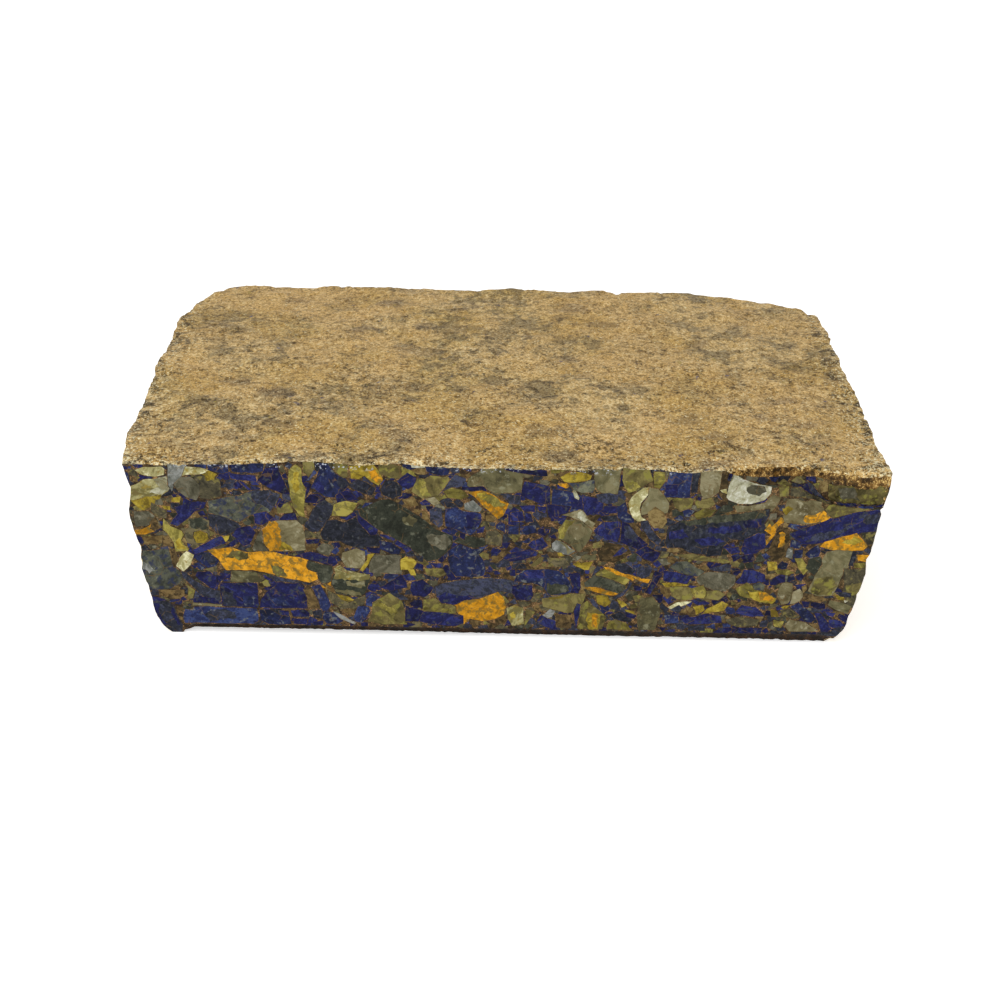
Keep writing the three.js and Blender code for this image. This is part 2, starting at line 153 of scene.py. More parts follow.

# The chips that show on the sawn face, as drawn outlines: the kind of stone, and then x and z of
# each corner. A row marked with a star is a patch of another colour inside the chip before it.
# The white patch at the end of the table, in the olive chip at the right end of the top edge, is a
# painted highlight on that edge. The white patch inside the cream chip at the upper left corner is
# partly pale stone and partly painted glare.
CHIPS = """
lapis -91 43.4 -88.7 43.2 -88.9 42.3 -90.6 42.2
azure -90.4 42 -88.9 41.6 -88.8 39 -89.6 36.8 -90.4 37
cream -87.2 42.3 -85 43.1 -81 43.4 -80.3 42.8 -80.3 41 -82.4 40.5 -86 41.1
cream -90 37 -87.5 38.5 -85.5 39.8 -83 39.9 -80 40.7 -79.5 39 -79.7 37 -81.5 35.8 -84 35.4 -88.8 34.1
*white -83 39.9 -80 40.7 -79.5 39 -79.7 37 -81.5 35.8 -84.3 36.4 -82 38
*yellow -88.6 34.1 -84 35.4 -81.5 35.8 -83.5 33 -85.7 31.4 -87.4 32
pale_grey -79.4 43.9 -75 43.9 -74.8 42 -76 41 -77.5 39.5 -79 36.8 -79.8 38.5
grey -78.5 38.5 -76.5 40.6 -74.5 40.8 -72.4 39.5 -72.1 37 -73.3 34.6 -75.6 35.4 -77.5 36.9
dark_olive -74.4 41.1 -70 41.3 -67.5 40.2 -67.3 36 -70 34.9 -72.4 35 -72.2 38.5
cream -76.3 40.9 -75.2 43.4 -72 43.1 -69.6 42.5 -71.5 41.6 -74 41.3
*yellow -70 42.5 -68 41.5 -68.6 40.1 -70.4 39.9 -71.4 41.4
azure -70 45.6 -68 46 -65.3 45.8 -65.2 42.3 -67 41.8 -69.9 42.7
azure -64.7 45.6 -57.2 45.4 -57.1 42.5 -60 42 -64.5 42.3
lapis -65.2 41.9 -59 41.3 -58.8 39.9 -62.5 40 -65 40.4
lapis -63.2 39.9 -62 39.5 -59.8 37.2 -60.9 37.4 -62.4 39
lapis -67.4 41.9 -66.1 41.2 -66.4 40.3 -67.8 41
blue_grey -70.6 34.4 -66 35.6 -63 36 -60 37.4 -56 37.6 -53.6 36.4 -54.6 34 -56 31.6 -61 30.6 -63.6 28.8
  -68 30.2 -70.7 31.4
*slate -60 37.3 -56 37.6 -53.6 36.4 -54.6 34 -56 32 -58 33.4 -60.4 34.4
slate -71 31 -68 30.4 -64 28.8 -63.2 27.6 -65.4 26 -67.2 25 -69.2 25.8 -71 28
yellow -79.1 34.9 -77 35.4 -77.4 33.8 -79.3 33.9
yellow -81.8 32.9 -79.7 32.8 -79.8 31.8 -81.2 32
lapis -78.5 32.6 -76.6 33 -76.2 35.2 -74.5 34 -71.2 34.1 -71.8 32.4 -74 31.4 -76 29.4 -78.5 27.3
  -80.1 28.2 -78 30.7
lapis -73.1 31.3 -71.9 31.9 -71.3 30.4 -72.6 30.2
dark_olive -75.6 29.5 -72.5 30 -70.8 29 -70.9 24 -73 22.4 -76.2 23 -77.6 26.8 -75.6 27
*dark_green -75.3 29.3 -72.5 29.8 -71 28.8 -71.1 26.6 -75.2 26.9
yellow -74.6 25.8 -73 26.3 -71.4 25.6 -71.1 24.2 -72.4 23 -74 22.9 -74.8 24.4
dark_olive -84 33.6 -80.6 31.6 -80.8 29.6 -83.2 29.4 -84.4 31.4
grey -88.6 31.2 -85 31.4 -83 29.6 -82.2 27 -84 26.2 -86 27.2 -88.4 27
*brown -83.6 30 -82.4 27 -84 26.3 -85.2 27 -84.6 29
orange -88.6 25.9 -86.6 26.6 -84.6 27.9 -85.1 26.7 -83.8 25.8 -86.4 25 -88.6 25
tan -87 24.2 -82.2 24.8 -82.4 22.7 -86.9 22.2
brown -82 24.6 -79.8 25 -79.8 21.6 -82.2 22
lapis -88.9 24.6 -87.2 24.2 -86.7 22.8 -88.6 22.2
olive_yellow -81.4 29.4 -80 27.3 -77.4 26.1 -76.9 25 -77.8 23.5 -76.1 21.3 -76.5 20.5 -79.3 20.4
  -79.6 23 -80.9 25.4 -82 26.5
*yellow -79.2 23 -78.2 24.4 -77.4 22.6 -76.6 21.2 -78.8 21
cream -76.8 20.6 -75 19.6 -75.9 17 -78 14.9 -79.4 16.4 -78.4 18.8
blue_grey -87.2 20.4 -83 20.9 -81 21 -80.4 19 -80.5 17 -78.9 15 -78.1 13 -79 11.4 -81.5 9.8 -84.4 9.4
  -86.9 10 -87.9 14 -88 18
*pale_grey -87.8 17.6 -86.6 17.2 -84.6 14.8 -86 14.2 -87.6 15.4
brown -80.9 21.6 -79.4 20.4 -78.8 18 -80.1 15.8
azure -75 18.7 -73 20.5 -71 20.3 -68.9 18.2 -69.9 16.6 -72 15.9 -73.6 17.2
*slate -73 19.4 -71.4 20.1 -69.2 18.2 -70.2 16.8 -71.8 17.4
lapis -75.4 20.8 -73 22.4 -68.2 25 -67 23.1 -71 21.2 -74.6 19.9
lapis -68.4 21.2 -64.2 24.6 -63.6 23.9 -64.2 23.2 -67.7 20.5
yellow -67.8 24.9 -66.2 25.2 -66.5 24 -67.2 23.3
lapis -65.6 25.2 -64.2 27 -61 27.9 -59.9 26 -61.4 23 -63 22.1 -64.1 24
orange -71.7 21 -69 21.3 -66 21.9 -62 20.4 -59 20.8 -56.5 20.9 -54 20.1 -50.6 19.6 -47.6 19 -47.5 16
  -45.5 15.3 -44.9 13.4 -47.5 12.4 -50 12.9 -53 13.4 -57 14.7 -61 15.6 -67.5 15.4 -69.2 18.4
*olive -65.6 20.9 -62 20.3 -61.7 18.8 -64 18.4 -67.2 19.4
*olive -56.6 17.1 -54 16.6 -52.8 14.3 -55 13.9 -56.2 15
lapis -74.6 14.8 -71.5 14.9 -69.2 12.8 -70 9.9 -71.6 10.2 -75.2 13.7
lapis -69.9 13.9 -67.6 13.8 -68.9 12.2 -70.1 11.9
grey_green -66.2 15.4 -60.4 15.1 -58.9 12.5 -60 11.9 -66.7 12.1
lapis -68.4 12.9 -66.9 13 -66.6 12.2 -68.4 12.2
slate -78.4 15 -77.4 14.6 -75.5 12.5 -72 10.2 -69.4 9.5 -69.4 6.6 -76.2 6 -76.1 7 -73.5 8 -76 10.5
  -78 13
*lapis -76.2 7 -74.4 7.9 -70.6 7.4 -69.6 5.9 -76.2 6.1
olive -78.1 12.2 -75.5 9.5 -76 7.4 -77.6 7 -77 10
beige -76.4 6.1 -69 5.6 -69 5.1 -76.4 5.2
brown -84.2 9.5 -81 9.6 -78 9.8 -78.2 8 -79.5 7.1 -81.5 6.9 -84.2 8.2
lapis -79 7.1 -80.8 5.5 -79.2 5.3 -78.9 6
lapis -86.6 7.8 -83 6.8 -82.2 6.2 -83.5 5.9 -86.5 6.2
slate -86.6 6 -82.5 6.4 -81 5 -80.4 2.7 -79.1 -0.5 -79.4 -2.8 -82 -2.8 -86 0 -87 3
*lapis -86.4 5.8 -84.6 5.5 -84.8 3.8 -84.4 1.6 -82.8 -0.6 -84.6 -1 -86.4 3
*lapis -81.6 4.6 -80.8 3.4 -79.6 -0.8 -80.6 -0.4 -81.4 2
lapis -69.3 11.8 -60.1 12 -60.2 5.5 -60.6 4.9 -69 5.2 -69.2 9
*slate -68.8 9.4 -66.4 9 -65 5.2 -68.8 5.4
*azure -64 8 -61 8.6 -61 5.4 -63.6 5
azure -78.4 4 -76.4 4.1 -76 4.9 -69 4.9 -60.6 4.6 -60.4 1 -62 0.2 -66 0.3 -70 0.2 -74 0.3 -78.6 0.1
  -79 2
*slate -73.6 3 -70 4.4 -66 3.6 -65.6 1.4 -69 1.6 -72.4 0.4
lapis -58.6 40.2 -57 42.8 -55.8 45.4 -54.2 45.4 -52.8 41 -51.1 36.5 -53 36.8 -55.5 37.8 -57.5 39
slate -56.8 45.6 -54 45.7 -54.6 43.8 -56.2 43.6
olive_yellow -51.3 40 -51.1 43 -49.5 44.6 -48.2 43.5 -48.2 40 -47.5 38 -48 34 -47.8 30.4 -49.2 31
  -50.5 33 -51.1 36
*yellow -50.8 40 -50 42.6 -48.8 42 -49 38 -50 36.4
olive -48 45.5 -45.3 45.4 -45 43 -46.6 41.4 -47.8 42.4
azure -47.3 40.2 -45.2 43.1 -44.6 42.3 -46.4 40.4
azure -43.6 44.9 -42.2 44.8 -40.5 42.3 -38 40.9 -36.9 39.5 -39 37.4 -40.5 36 -43 36 -44.5 37.5
  -46.1 38.7 -44.8 41
*lapis -45.9 38.8 -44.4 40.4 -43 38.8 -43.2 37 -44.5 37.5
*slate -39.6 41.4 -38 40.8 -37.2 39.6 -39 38.4 -40.2 39.6
lapis -47.4 36.3 -46.9 39.6 -45.9 39.4 -46.7 37
lapis -47.6 35.4 -46.5 36.7 -44.5 36.8 -42.9 35.8 -43.5 34.1 -45.5 34.3 -47.6 34.4
tan -47.6 34 -45.4 33.5 -47.2 31.2
slate -44.9 34 -43 35.2 -41.8 34.2 -40.9 33 -42 30.4 -43.5 28 -45 26.5 -46.5 26.4 -48.3 28 -47 30
  -46 32.5
lapis -40.4 36.5 -38 37.9 -36.8 37.5 -35.2 35.3 -38 34.7 -40.1 34.2
slate -37.6 39.4 -35 40.8 -33 40.1 -30.9 38.5 -32 36.4 -34.5 37.4 -36.1 38.3
yellow -37.1 44.3 -35 44.6 -33.3 45.6 -31.5 45.3 -30.5 43.5 -29.1 41 -30.2 39.4 -32 40.4 -33.5 41.8
  -35 40.9 -36.6 41
*orange -32.6 43 -31 43.4 -29.3 41 -30.2 39.8 -31.8 41
olive -36.4 45.5 -33.6 45.4 -35 44.7 -37 44.5
olive -41 45.3 -37.4 45.3 -37.4 41.6 -38.4 41.2 -40.4 42.8
olive_yellow -40.8 34.2 -38 35.1 -35.4 34.5 -36.5 32 -38 30.8 -41.6 30.9
olive -54.4 33.4 -51.6 34.2 -50.6 32 -51.2 31.4 -54.4 31.4
slate -42.6 29.6 -40.5 29.9 -38.5 29.3 -36 30.6 -35.3 31.1 -31 28 -30.4 26 -28.4 24 -28 22.4 -31 22.9
  -35 22.2 -38 22.8 -39.5 24 -43.6 24.2 -44.4 26
lapis -35.6 31.3 -34.5 31.1 -30.6 27.5 -31 26 -32.5 25.9 -35.3 29.5
lapis -53.9 30 -52.5 31.3 -50.2 31.6 -49.6 29.6 -53.8 29.4
lapis -59.9 28.4 -60.1 31 -57 31.9 -56 30.8 -54.4 29.5 -57 29 -58 28.1
lapis -54.4 33.4 -53.4 34.8 -52.2 35 -53.6 32.7
beige -54.8 29.3 -50 29.6 -48.6 28 -48 25 -48.2 21.4 -51.5 21.1 -56.5 21 -58.2 23 -58 26.5 -56.6 29
*orange -58 26.5 -56.6 29 -54.6 29.2 -53.9 27 -53.6 23.4 -51.6 22.2 -51.5 21.2 -56.5 21.1 -58.1 23
*yellow -54 23.8 -51.8 22.8 -51 21.4 -54.4 21.3
grey -60.8 21.9 -59.6 25 -58.4 27 -58.1 23 -57 21 -60.6 21
lapis -48.1 24.3 -44.6 24.7 -45 23.4 -47.5 23.1
dark_olive -48 27 -45.4 26 -44.8 25 -48 24.8
tan -48 23 -45 23.2 -45.6 21.4 -47.8 21.2
grey -45.6 21.8 -44 23.4 -42 23.2 -41.2 22 -42.6 20.1 -44.6 20.5
azure -42.1 20.9 -40.6 22.6 -39.9 21.6 -40.9 20.3
lapis -50.7 19.8 -48.5 20.6 -46.8 21.1 -43 19.8 -41.3 20 -40.5 18 -41.3 17.2 -44 17.7 -47.5 18.9
dark_green -47.6 18.4 -44 17.5 -41.9 17.1 -41.7 15 -42.2 12.6 -44.5 12.3 -45.2 13.5 -45.6 15.3
  -47.6 16.1 -48 17
orange -43.3 11.8 -42.3 12.8 -41.7 12 -42.5 11.4
orange -45.2 12.1 -44 11.4 -43.4 10.8 -44.4 11
lapis -59.4 7.5 -58 9.5 -56 11 -55 12.1 -50 12 -49 11.5 -48.4 8 -48.2 4.8 -52 5 -56 4.7 -60 5
*azure -57.4 7.6 -54 8.4 -52.6 5.6 -57 5.2
slate -57.2 14.1 -55 13.7 -50 12.9 -47.6 11.6 -49.6 12.1 -54.5 12.5 -55.6 12.3
lapis -58.8 14.3 -56.2 13 -56.6 12.3 -58.2 13.3
azure -47.1 11.2 -45 11.9 -43.5 9 -42.4 6 -43.5 4.2 -45 4.5 -45.6 7.5
brown -49.1 10.4 -47.3 10.4 -45.6 7 -45.2 4.9 -48 5 -48.2 8
azure -60.2 4.4 -57 4.2 -55.5 3 -52.6 2.5 -52.4 0.2 -58 0.2 -60 1.5
lapis -55.4 4.2 -53 4.1 -52.8 2.5 -55.2 2.9
lapis -52.3 4.3 -49 4.6 -47.9 3.5 -48 2.2 -51.8 2.4
lapis -51.6 2 -48.2 2 -48.7 0.3 -51.8 0.4
slate -47.1 4.3 -44.7 4.9 -44.6 2 -46.8 2.2
lapis -47.1 1 -44.4 1.4 -44.9 0.2 -46.8 0.3
azure -44.1 4.2 -41.5 3.8 -39.4 1.5 -41 0.5 -43.6 0.6 -44.8 2
pale_grey -42.2 4.3 -40.5 3.6 -38 1.9 -36.4 1 -36.8 0.6 -40 1.9
dark_olive -43.2 10.3 -41 9.1 -38 7.1 -35 8.6 -33.9 9 -34 7 -35.6 5.4 -40 4.9 -42.1 6.5 -43.1 8
yellow -41.1 9.1 -38.5 8.8 -36.8 7.5 -38 6.9 -39.9 7.8
dark_green -41.8 14.8 -38.5 15.4 -33 14.9 -32.8 13.6 -33.4 12 -34.2 9.4 -35.5 8.6 -38.5 8.9 -41 9.4
  -42.1 12
*cream -41.2 16.6 -38.5 15.9 -34 15 -32.9 15 -32.8 13.7 -35.5 13.2 -41.6 13.5
*grey_green -38.6 13 -36.4 12.6 -34.4 13 -33.8 11.4 -36.4 11.2 -38.2 11.8
*grey_green -41.2 9.9 -38 9.1 -35 8.8 -35.4 10 -38.4 10.4 -41.2 10.7
cream -41.3 16.6 -40 17.4 -38.4 15.9 -34 15.1 -38.6 15.6
beige -39.2 20.9 -36 22.1 -34 21.3 -33.7 17.5 -35 16.6 -38.5 16.9 -39.6 19
yellow -33.1 20.6 -31.6 20.9 -32.9 18 -34.5 15.6 -35 16.4 -33.3 19
grey -31.6 20.6 -25.2 20.5 -24.9 15.2 -29 15.4 -32.9 15.6 -32.9 17.8
yellow -25.4 19.4 -24 20.2 -22 19.6 -20.9 18 -23 16.4 -25.4 16.4
yellow -23.6 16.6 -22 16.7 -21.7 15 -22.8 14.9
lapis -33.4 22.6 -30 22.4 -30.4 20.9 -33.1 21.2
azure -33.9 7.8 -32 9.9 -30.4 8.6 -30.2 7 -32.5 5.9 -34.1 6.2
lapis -30.6 11.2 -27 13.6 -25.2 15.2 -24 13 -23.9 11.4 -27.5 10.6
azure -35.8 5.9 -33.5 5.9 -32.9 4.5 -35 1.2 -36.7 1.4 -37.1 2.5
olive -32.2 7 -28 10 -25.5 8.1 -24.4 5 -23.9 0.9 -30.5 0.7 -33.6 1.5 -32.6 4
*olive_yellow -32 6.4 -30.8 7.6 -26.8 5 -26 3.6 -28 3.8
olive -30.2 44.9 -27 45 -24 44 -21.7 42.2 -24 41.4 -27.5 41.4 -30 42.4
*olive_yellow -24.9 44.3 -22 43.1 -21.5 41.8 -23 42.3 -24.9 42.2
white -23 45.8 -19.2 45.8 -19.4 44.4 -22.4 44.2
azure -19.2 45.6 -18 45.9 -14 45.9 -13.5 44 -13.8 42.4 -17 42.4 -19.1 43.3
lapis -25.9 40.7 -23.5 42.8 -21.4 41.5 -21.8 39.6 -23.3 38.4 -25.1 39.5
slate -29.9 38.5 -28.5 40.9 -26 40.3 -24.9 38.8 -24.9 36.8 -27 35.9 -29.4 36.7
olive -22.1 39 -21 41.6 -19.5 41.2 -18 42.2 -14 41.9 -13.4 40.5 -15 38.5 -15.5 36.9 -17 37 -20 35.9
  -22.6 38
*olive_yellow -21.6 39 -20.8 41 -19 40.4 -18.8 38 -20.2 36.8
slate -13.6 41 -12.3 42.6 -9.7 41.6 -10.5 39.7 -12.5 38.9 -14.5 38.4 -16.2 36.9 -15.4 38.2 -14.1 40
olive_yellow -15.1 38 -13 39.1 -11 38.8 -9.9 38.1 -9 36.9 -11 36.1 -14 36.4
grey_green -9.3 41.5 -8 42.6 -5.5 44.6 -1.5 44.8 2 44 3.6 43 3.4 38.2 -0.5 37.9 -3 37.8 -4.5 38.8
  -5.5 39.7 -8.5 39 -9.4 39.8
*beige -9 41.2 -8 42.2 -6 42 -5.4 40.2 -8.4 39.4
lapis -10.8 39.2 -5.8 39.6 -5 39.1 -4.9 38.3 -9 38.3 -10.6 38.6
lapis -1.3 45.2 1 45.4 9 44.1 9.3 42.7 7.5 42.5 1 43.7 -0.5 43.9
orange -9.6 38 -6 38.6 -3.5 37.5 -1.5 36 0.4 35 -0.4 33.2 -0.9 31.8 -2 30.9 -3.5 32.4 -5.3 34 -6.5 35.4
  -7.5 36.8
*olive_yellow -6.4 38 -3.6 37.2 -1.4 35.6 0 34.8 -2.4 34 -4.6 35.2 -6.4 36.6
*yellow -7.2 37.6 -5.4 38 -4.6 36.6 -6.4 36
slate -1.6 37.6 0 37.9 3 37.2 3.2 35 1 34.9 -0.3 36
lapis -20.6 35 -19.5 35.9 -17.9 35.2 -18.2 34.4 -20 34.3
tan -24.8 35.6 -22 36.4 -20.8 34.2 -23.4 33.6
beige -19.4 36 -17 36.4 -15.6 35 -17.4 34.2
slate -18.3 33 -17 33.9 -15.5 33.4 -15.1 29 -16 28.4 -18.1 29.8
tan -20 32.6 -18.8 32.4 -18.4 30.6 -20 30.2
azure -14.6 33.3 -12 34.1 -10.5 33 -6.1 32.3 -5.9 30.5 -6.9 28 -8.5 26.4 -10 26.9 -12.5 28.2 -14.6 28.8
*lapis -9.6 32.6 -6.3 32.1 -6.2 30.6 -7.2 28.2 -9.6 28
slate -14.8 35.2 -12.6 35 -11.6 34 -14.4 33.8
pale_grey -10.1 35 -8 35.8 -5.9 33.5 -6.4 32.6 -10.1 33.2
dark_green -35.1 32.5 -32.5 34 -30 35.6 -28 35.8 -24 33.5 -20.5 31 -17 28 -12.9 26 -12.9 24 -14 21.9
  -16.5 19.4 -19 18.9 -21.6 21.4 -26 24.4 -31 27.9 -34.6 31
*grey_green -25 30.8 -23 31.4 -21 30.4 -22.4 28.4 -24.6 29
*grey -19.2 26.6 -14.4 26.4 -13.2 24 -15 22.2 -18.4 23.6
lapis -30.2 26.3 -28 25.8 -26.4 24.8 -27 24.3 -29 25.2 -30.2 25.7
lapis -26.1 24.6 -23 22.6 -22.6 22 -23.7 21.3 -25 22.4 -26.6 23.7
azure -30.4 24.6 -27.5 24 -25 22 -25.5 20.9 -27.5 20.9 -30.2 22.2
slate -21.9 20.6 -20 20.3 -19.9 18.7 -21 18.9
lapis -21.4 18.4 -19.8 17.8 -19.9 16.1 -21.5 16.7 -22 17
lapis -18.1 18.4 -15.2 18.5 -15.1 17.4 -17 17.1
lapis -14.6 18 -13.4 17.8 -12.9 16 -11.9 14.5 -13 13.5 -14 14.9 -15.1 17
olive -19.6 16.9 -15.2 17 -14.4 15.5 -16 14.4 -19 14.9
slate -19.8 15.4 -19.2 14 -17.2 13.6 -16.8 14.4
azure -13.8 22 -11 24 -8 22.5 -4.5 22.7 -6.6 21.2 -5.5 19.5 -4.9 17 -5.3 15.1 -8 14.9 -12 14.8 -13.5 17
  -13.9 19.5
dark_green -12.6 24.5 -10.5 26.6 -8 26.1 -5 25.5 -4.9 23.5 -8 22.9 -11 24.1
lapis -11.1 27 -9.9 26.9 -9.9 25 -11.1 25.7
azure -2.6 29.3 -1.5 30.3 -0.2 29.5 -0.2 27.4 -1.3 27.7 -2.6 28.4
blue_grey -4.2 30 -2.7 29.9 -2.8 28.9 -4 28.9
lapis -7.1 28 -5.2 28.9 -5.4 27.1 -7 26.9
dark_olive -4.6 27.5 -2.5 28 -1 26.5 -1.2 23.4 -4.8 23.9 -5.1 26
lapis 0.3 32.5 1.5 34.1 3 33.5 3 29.3 0.4 29.4 0.4 31
azure 0.4 29.1 3 29 2.8 26.9 0.4 26.9
lapis -0.8 20 0.3 21.4 5.5 22.8 7.6 22 7.3 21.1 4.5 19.9 1 19.2
slate -2.6 18.5 -0.7 20 1 19.4 1 17.9 -2 17.4
slate -17 12 -14.5 13.1 -12 13.6 -9 14.1 -5 14.6 0 14.4 3.2 13.6 3 12 2 10.2 -1 11 -3 10.4 -6 8.9 -9 7.9
  -11 7.4 -13 6.9 -15.5 7.2 -16.6 9
*lapis -16.4 9 -14.3 10.6 -13.5 10 -11 9.6 -8 9.4 -6.4 8.6 -10 7.7 -12.5 6.9 -15.4 7.2
lapis -22.8 13 -20 13.9 -17.4 11.5 -18.1 10 -19.5 8.9 -22.5 9.1 -23 10.5
orange -12.4 6.5 -10 8 -6 8.6 -1.8 10.6 -0.5 9 0.4 6.5 -0.2 4.3 -2.5 2.7 -5 2.2 -8.5 2.7 -10 1.1
  -10.2 3.5 -12.1 5
olive -19.9 8 -17 8.7 -15.5 7 -13 6.7 -12 6.2 -11.9 4.4 -14 3.9 -17 4.4 -20.1 4.8
*olive_yellow -19.8 6 -16 5.6 -13 5.6 -13 4.6 -17 4.6 -19.8 5
lapis -23.4 7.1 -21 8.1 -20.2 7.8 -20.2 5.4 -21.5 6.2 -23 6.2
lapis -24.3 6 -22 5.5 -19.9 4.9 -20.5 3 -21.2 1.7 -24.4 1.8
lapis -19.8 4.7 -15 4.3 -10.2 3.7 -10.1 1.4 -12 0.6 -17 0.8 -20.8 1.9 -20.4 3.5
slate -28.2 9.9 -25 9.3 -23.4 8 -25.5 7.9
cream 0.4 6.1 2.5 6.9 4.5 6.1 4.8 1.4 2 0.9 0.8 3
*yellow 1.2 4.6 2.4 5 2.6 3.4 1.6 3.2
olive 5.1 5.9 7.6 5.1 6 2.9 5 0.9
olive_yellow 9.8 45.4 13.1 45.4 12 43.6 10.1 43.3
yellow 12.4 42.5 14 43.6 16.5 43.9 19.8 43.1 19.3 42 17.5 41.2 15 40.9 13.4 41.2
olive 13.4 45.5 18.6 45.6 19 43.6 16.5 44.1 14 44
orange 11.9 40.8 14 41 14.6 40 13.8 39.5 12.2 40.2
grey_green 20.3 45.4 26.5 45.4 26.3 42 25.9 38.2 22.5 38.3 21 38.9 20.2 41.5
olive 26.9 45.3 33 45.3 34 42 32 40.4 31 39.9 28.5 38.4 27.4 40 26.9 42
*olive_yellow 27.7 41.5 29.5 41.7 31 40.1 29 38.6 27.8 39.8
blue_grey 14.4 40.8 16.5 41 20.3 41.9 20.4 39.5 20 38.4 17.5 38.4 15.5 39
lapis 3.9 41.1 5.5 40.9 10.1 39.9 10.1 35.1 7.5 35.4 3.2 37.4 3.4 39
azure 10.5 39.3 14 38.9 17.5 37.6 20 36 20 33.4 17 32.9 14 33 10.5 35
*lapis 14.6 37.6 17.4 36.8 19.4 35.4 19.6 33.8 15.4 33.8
lapis 17.6 37.9 21 37.1 22.9 36 22.5 33.9 20.5 32.4 18.2 33.3
white 15.3 39.1 16 38.9 17 37 16.8 36.5 16 36.9
slate 20.9 38.1 24 38.4 26.1 37.8 26.1 36.1 23.5 35.4 21.5 36.2
lapis 22.9 34.5 23.5 35 26.3 34.9 26.1 33.2 24 32.9 22.9 33.2
lapis 2.9 34.5 6.6 34.9 6.6 33 4 33.1
lapis 0.9 32.8 3.5 33.1 4.6 30.4 1 30.3
lapis 4 33 5.6 32.5 6.3 30.4 4.5 30
lapis 7 34.6 9.4 34.6 9.1 32.9 7.5 33.2
lapis 9.4 35.1 15.1 34.6 14.5 32.9 13 32.4 11 30.9 9.7 32
lapis 10.8 31.9 14.1 31.5 12.5 30.7 10.4 30.7
azure 3.2 29.1 6.8 29.3 7.4 27.5 5 26.9 3.2 26.9
lapis 9 28.6 10.4 28.6 10.2 27.4 9.2 27.4
lapis 10.4 26.4 11.4 27 12 26 10.8 25.8
lapis 5.1 24 6 25 8.5 26.1 9.9 24 8.5 22.7 6.5 22.7
beige 13 32.3 15 33.1 17.5 33.9 18.3 33.2 19.5 31 21.1 30.2 20.3 29.1 19 29.7 17 30.9 15 31.9
*white 16.6 33.2 17.9 33.4 19.2 31 18.4 30.6 17 31.2
grey_green 12.4 26 12.6 28.6 14 31 16.3 31.1 18 30.6 20.6 28.3 20 26 18.5 23.4 17.5 22.2 15.5 23.9
  13.3 25.5
*olive_yellow 12.4 26 12.5 28.4 14 30.9 16.2 30.9 14.2 28.4 13.4 25.6
*beige 14.2 27.6 16 30.2 18 30 19.4 27.6 17 25.4
lapis 20.7 28.3 23 30.6 27 30.9 27.1 27 26.5 25.2 24 25.9 21.4 27.4
lapis 27.3 30.6 29 30.3 31.5 28 34.1 25 33.5 23.7 31 22.9 27.2 25
*slate 28 29.8 29.4 29.6 31.6 27.2 30.4 25.4 28.4 26.6
slate 22 32.1 26 32.6 26.9 31 23 30.9
azure 25.9 34.5 28 36.1 28.5 34 28.5 33.3 30.1 32 30.1 30.4 27.5 30.7 26.2 32
brown 29 30.4 30.3 30.6 34.1 26 34 24.7 31 27.5
cream 28.9 34 28.7 36 29.8 38.1 32 39.9 33.6 40.2 33.2 38.2 31.6 36 31.3 34 32 32.2 33.6 31 31 30.9
  29.8 32
slate 23.4 25.4 27 25 31.2 23.3 30.8 22.6 27 23.9
brown 22 22 24 25 29 24 30 22 26 19.5 22.4 20
lapis 25.7 21.1 28 23.9 29.1 22.9 27.5 21.6
lapis 31 22.6 33.5 24.2 37.1 22.5 36.5 21 35.2 19.9 33 20.7
pale_grey 10.9 24.5 12 25.4 13.5 24.9 16.6 22.5 15 21.4 13 21.7 11 22.9
*grey_green 12.6 25 13.4 24.9 16.4 22.6 15 21.6 14.6 22.8
grey 17.4 22.3 20 22.3 18.8 21 16.8 21.4
grey_green 18.2 21 19 21.7 21.5 21.6 21.9 20.2 20 19.8 18.4 20.1
yellow 12.4 22.1 13.3 21.9 14.1 21 12.8 20.9
olive 5.9 18.2 8 20.6 9.1 20.6 8.5 18.9 7 17.9
dark_olive 9.9 20.5 14 20.6 15.6 18.5 12 17.9 10.4 18.9
yellow 16.1 18.8 17.3 19.9 18 19.2 20.9 19.6 20 17.4 19 17.4
slate 1.6 18.5 4.5 18.9 5.1 17.5 3 17.2 1.6 17.4
azure 2.6 15 4.5 17.1 10.5 17.3 12.8 16.9 15 14.8 16.4 12.5 15.8 10.9 12 9.9 10.3 10.1 9.4 12.2 6.5 13.4
  2 13.7
*lapis 4.6 16.8 9.4 17 9.4 14.8 4 14.8
*dark_green 9.9 13.2 15 13 15.8 11.2 12 10 10.3 10.2
lapis 1.9 12.6 6.5 12.9 6.9 9.5 6 8.4 3 8.4 1.7 10.5
lapis 1 17 2.4 17.1 2.3 15.2 1.1 15.4
lapis 15.1 16.3 18.1 16.7 18.2 13.5 18.4 12 17.7 10.4 17 10.7 16.5 13
slate 20.7 15.5 22 18.6 23.1 17.8 21.6 15.8
dark_green 19.1 13.8 21.5 15.9 26 14.9 29 13.1 29.4 11.5 27.5 10.4 24 12.4 19.4 12.7
olive_yellow 21.7 16.3 24 18.1 25 18.1 30.1 14.8 29.1 13.1 26 14.8 22 15.9
*orange 23.8 18 25.2 18.2 29 16.6 32 15.4 31 14.5 27.5 15.9
orange 19.4 12.5 22 12.4 27.6 10.8 26.5 10.1 22 11.1 20 11.7
slate 27.4 10.5 29.5 12 30 14.3 30.9 13.8 29 10.4 27 9.2 26 9.4
slate 26.4 19 28.5 19.6 31.3 17.5 30.5 16.2 28 16.7 26 17.9
orange 30 16.1 32 15.6 35.1 15 34.5 13.9 32 14.7
olive 8.9 9 12 9.4 16 10.7 19.6 10.6 19.1 8 18 5.4 15 4.9 12 5.9 9.4 6.7
*yellow 10.5 9.3 14.5 10.1 14 9.3 11 8.7
lapis 17.7 7.8 18.9 7.3 18.2 4.5 17.5 0.3 17.2 3 16.9 5.5
slate 20.2 9.3 21.5 9.1 22.9 7 23.4 6.2 22.5 5.9 21.8 6.9
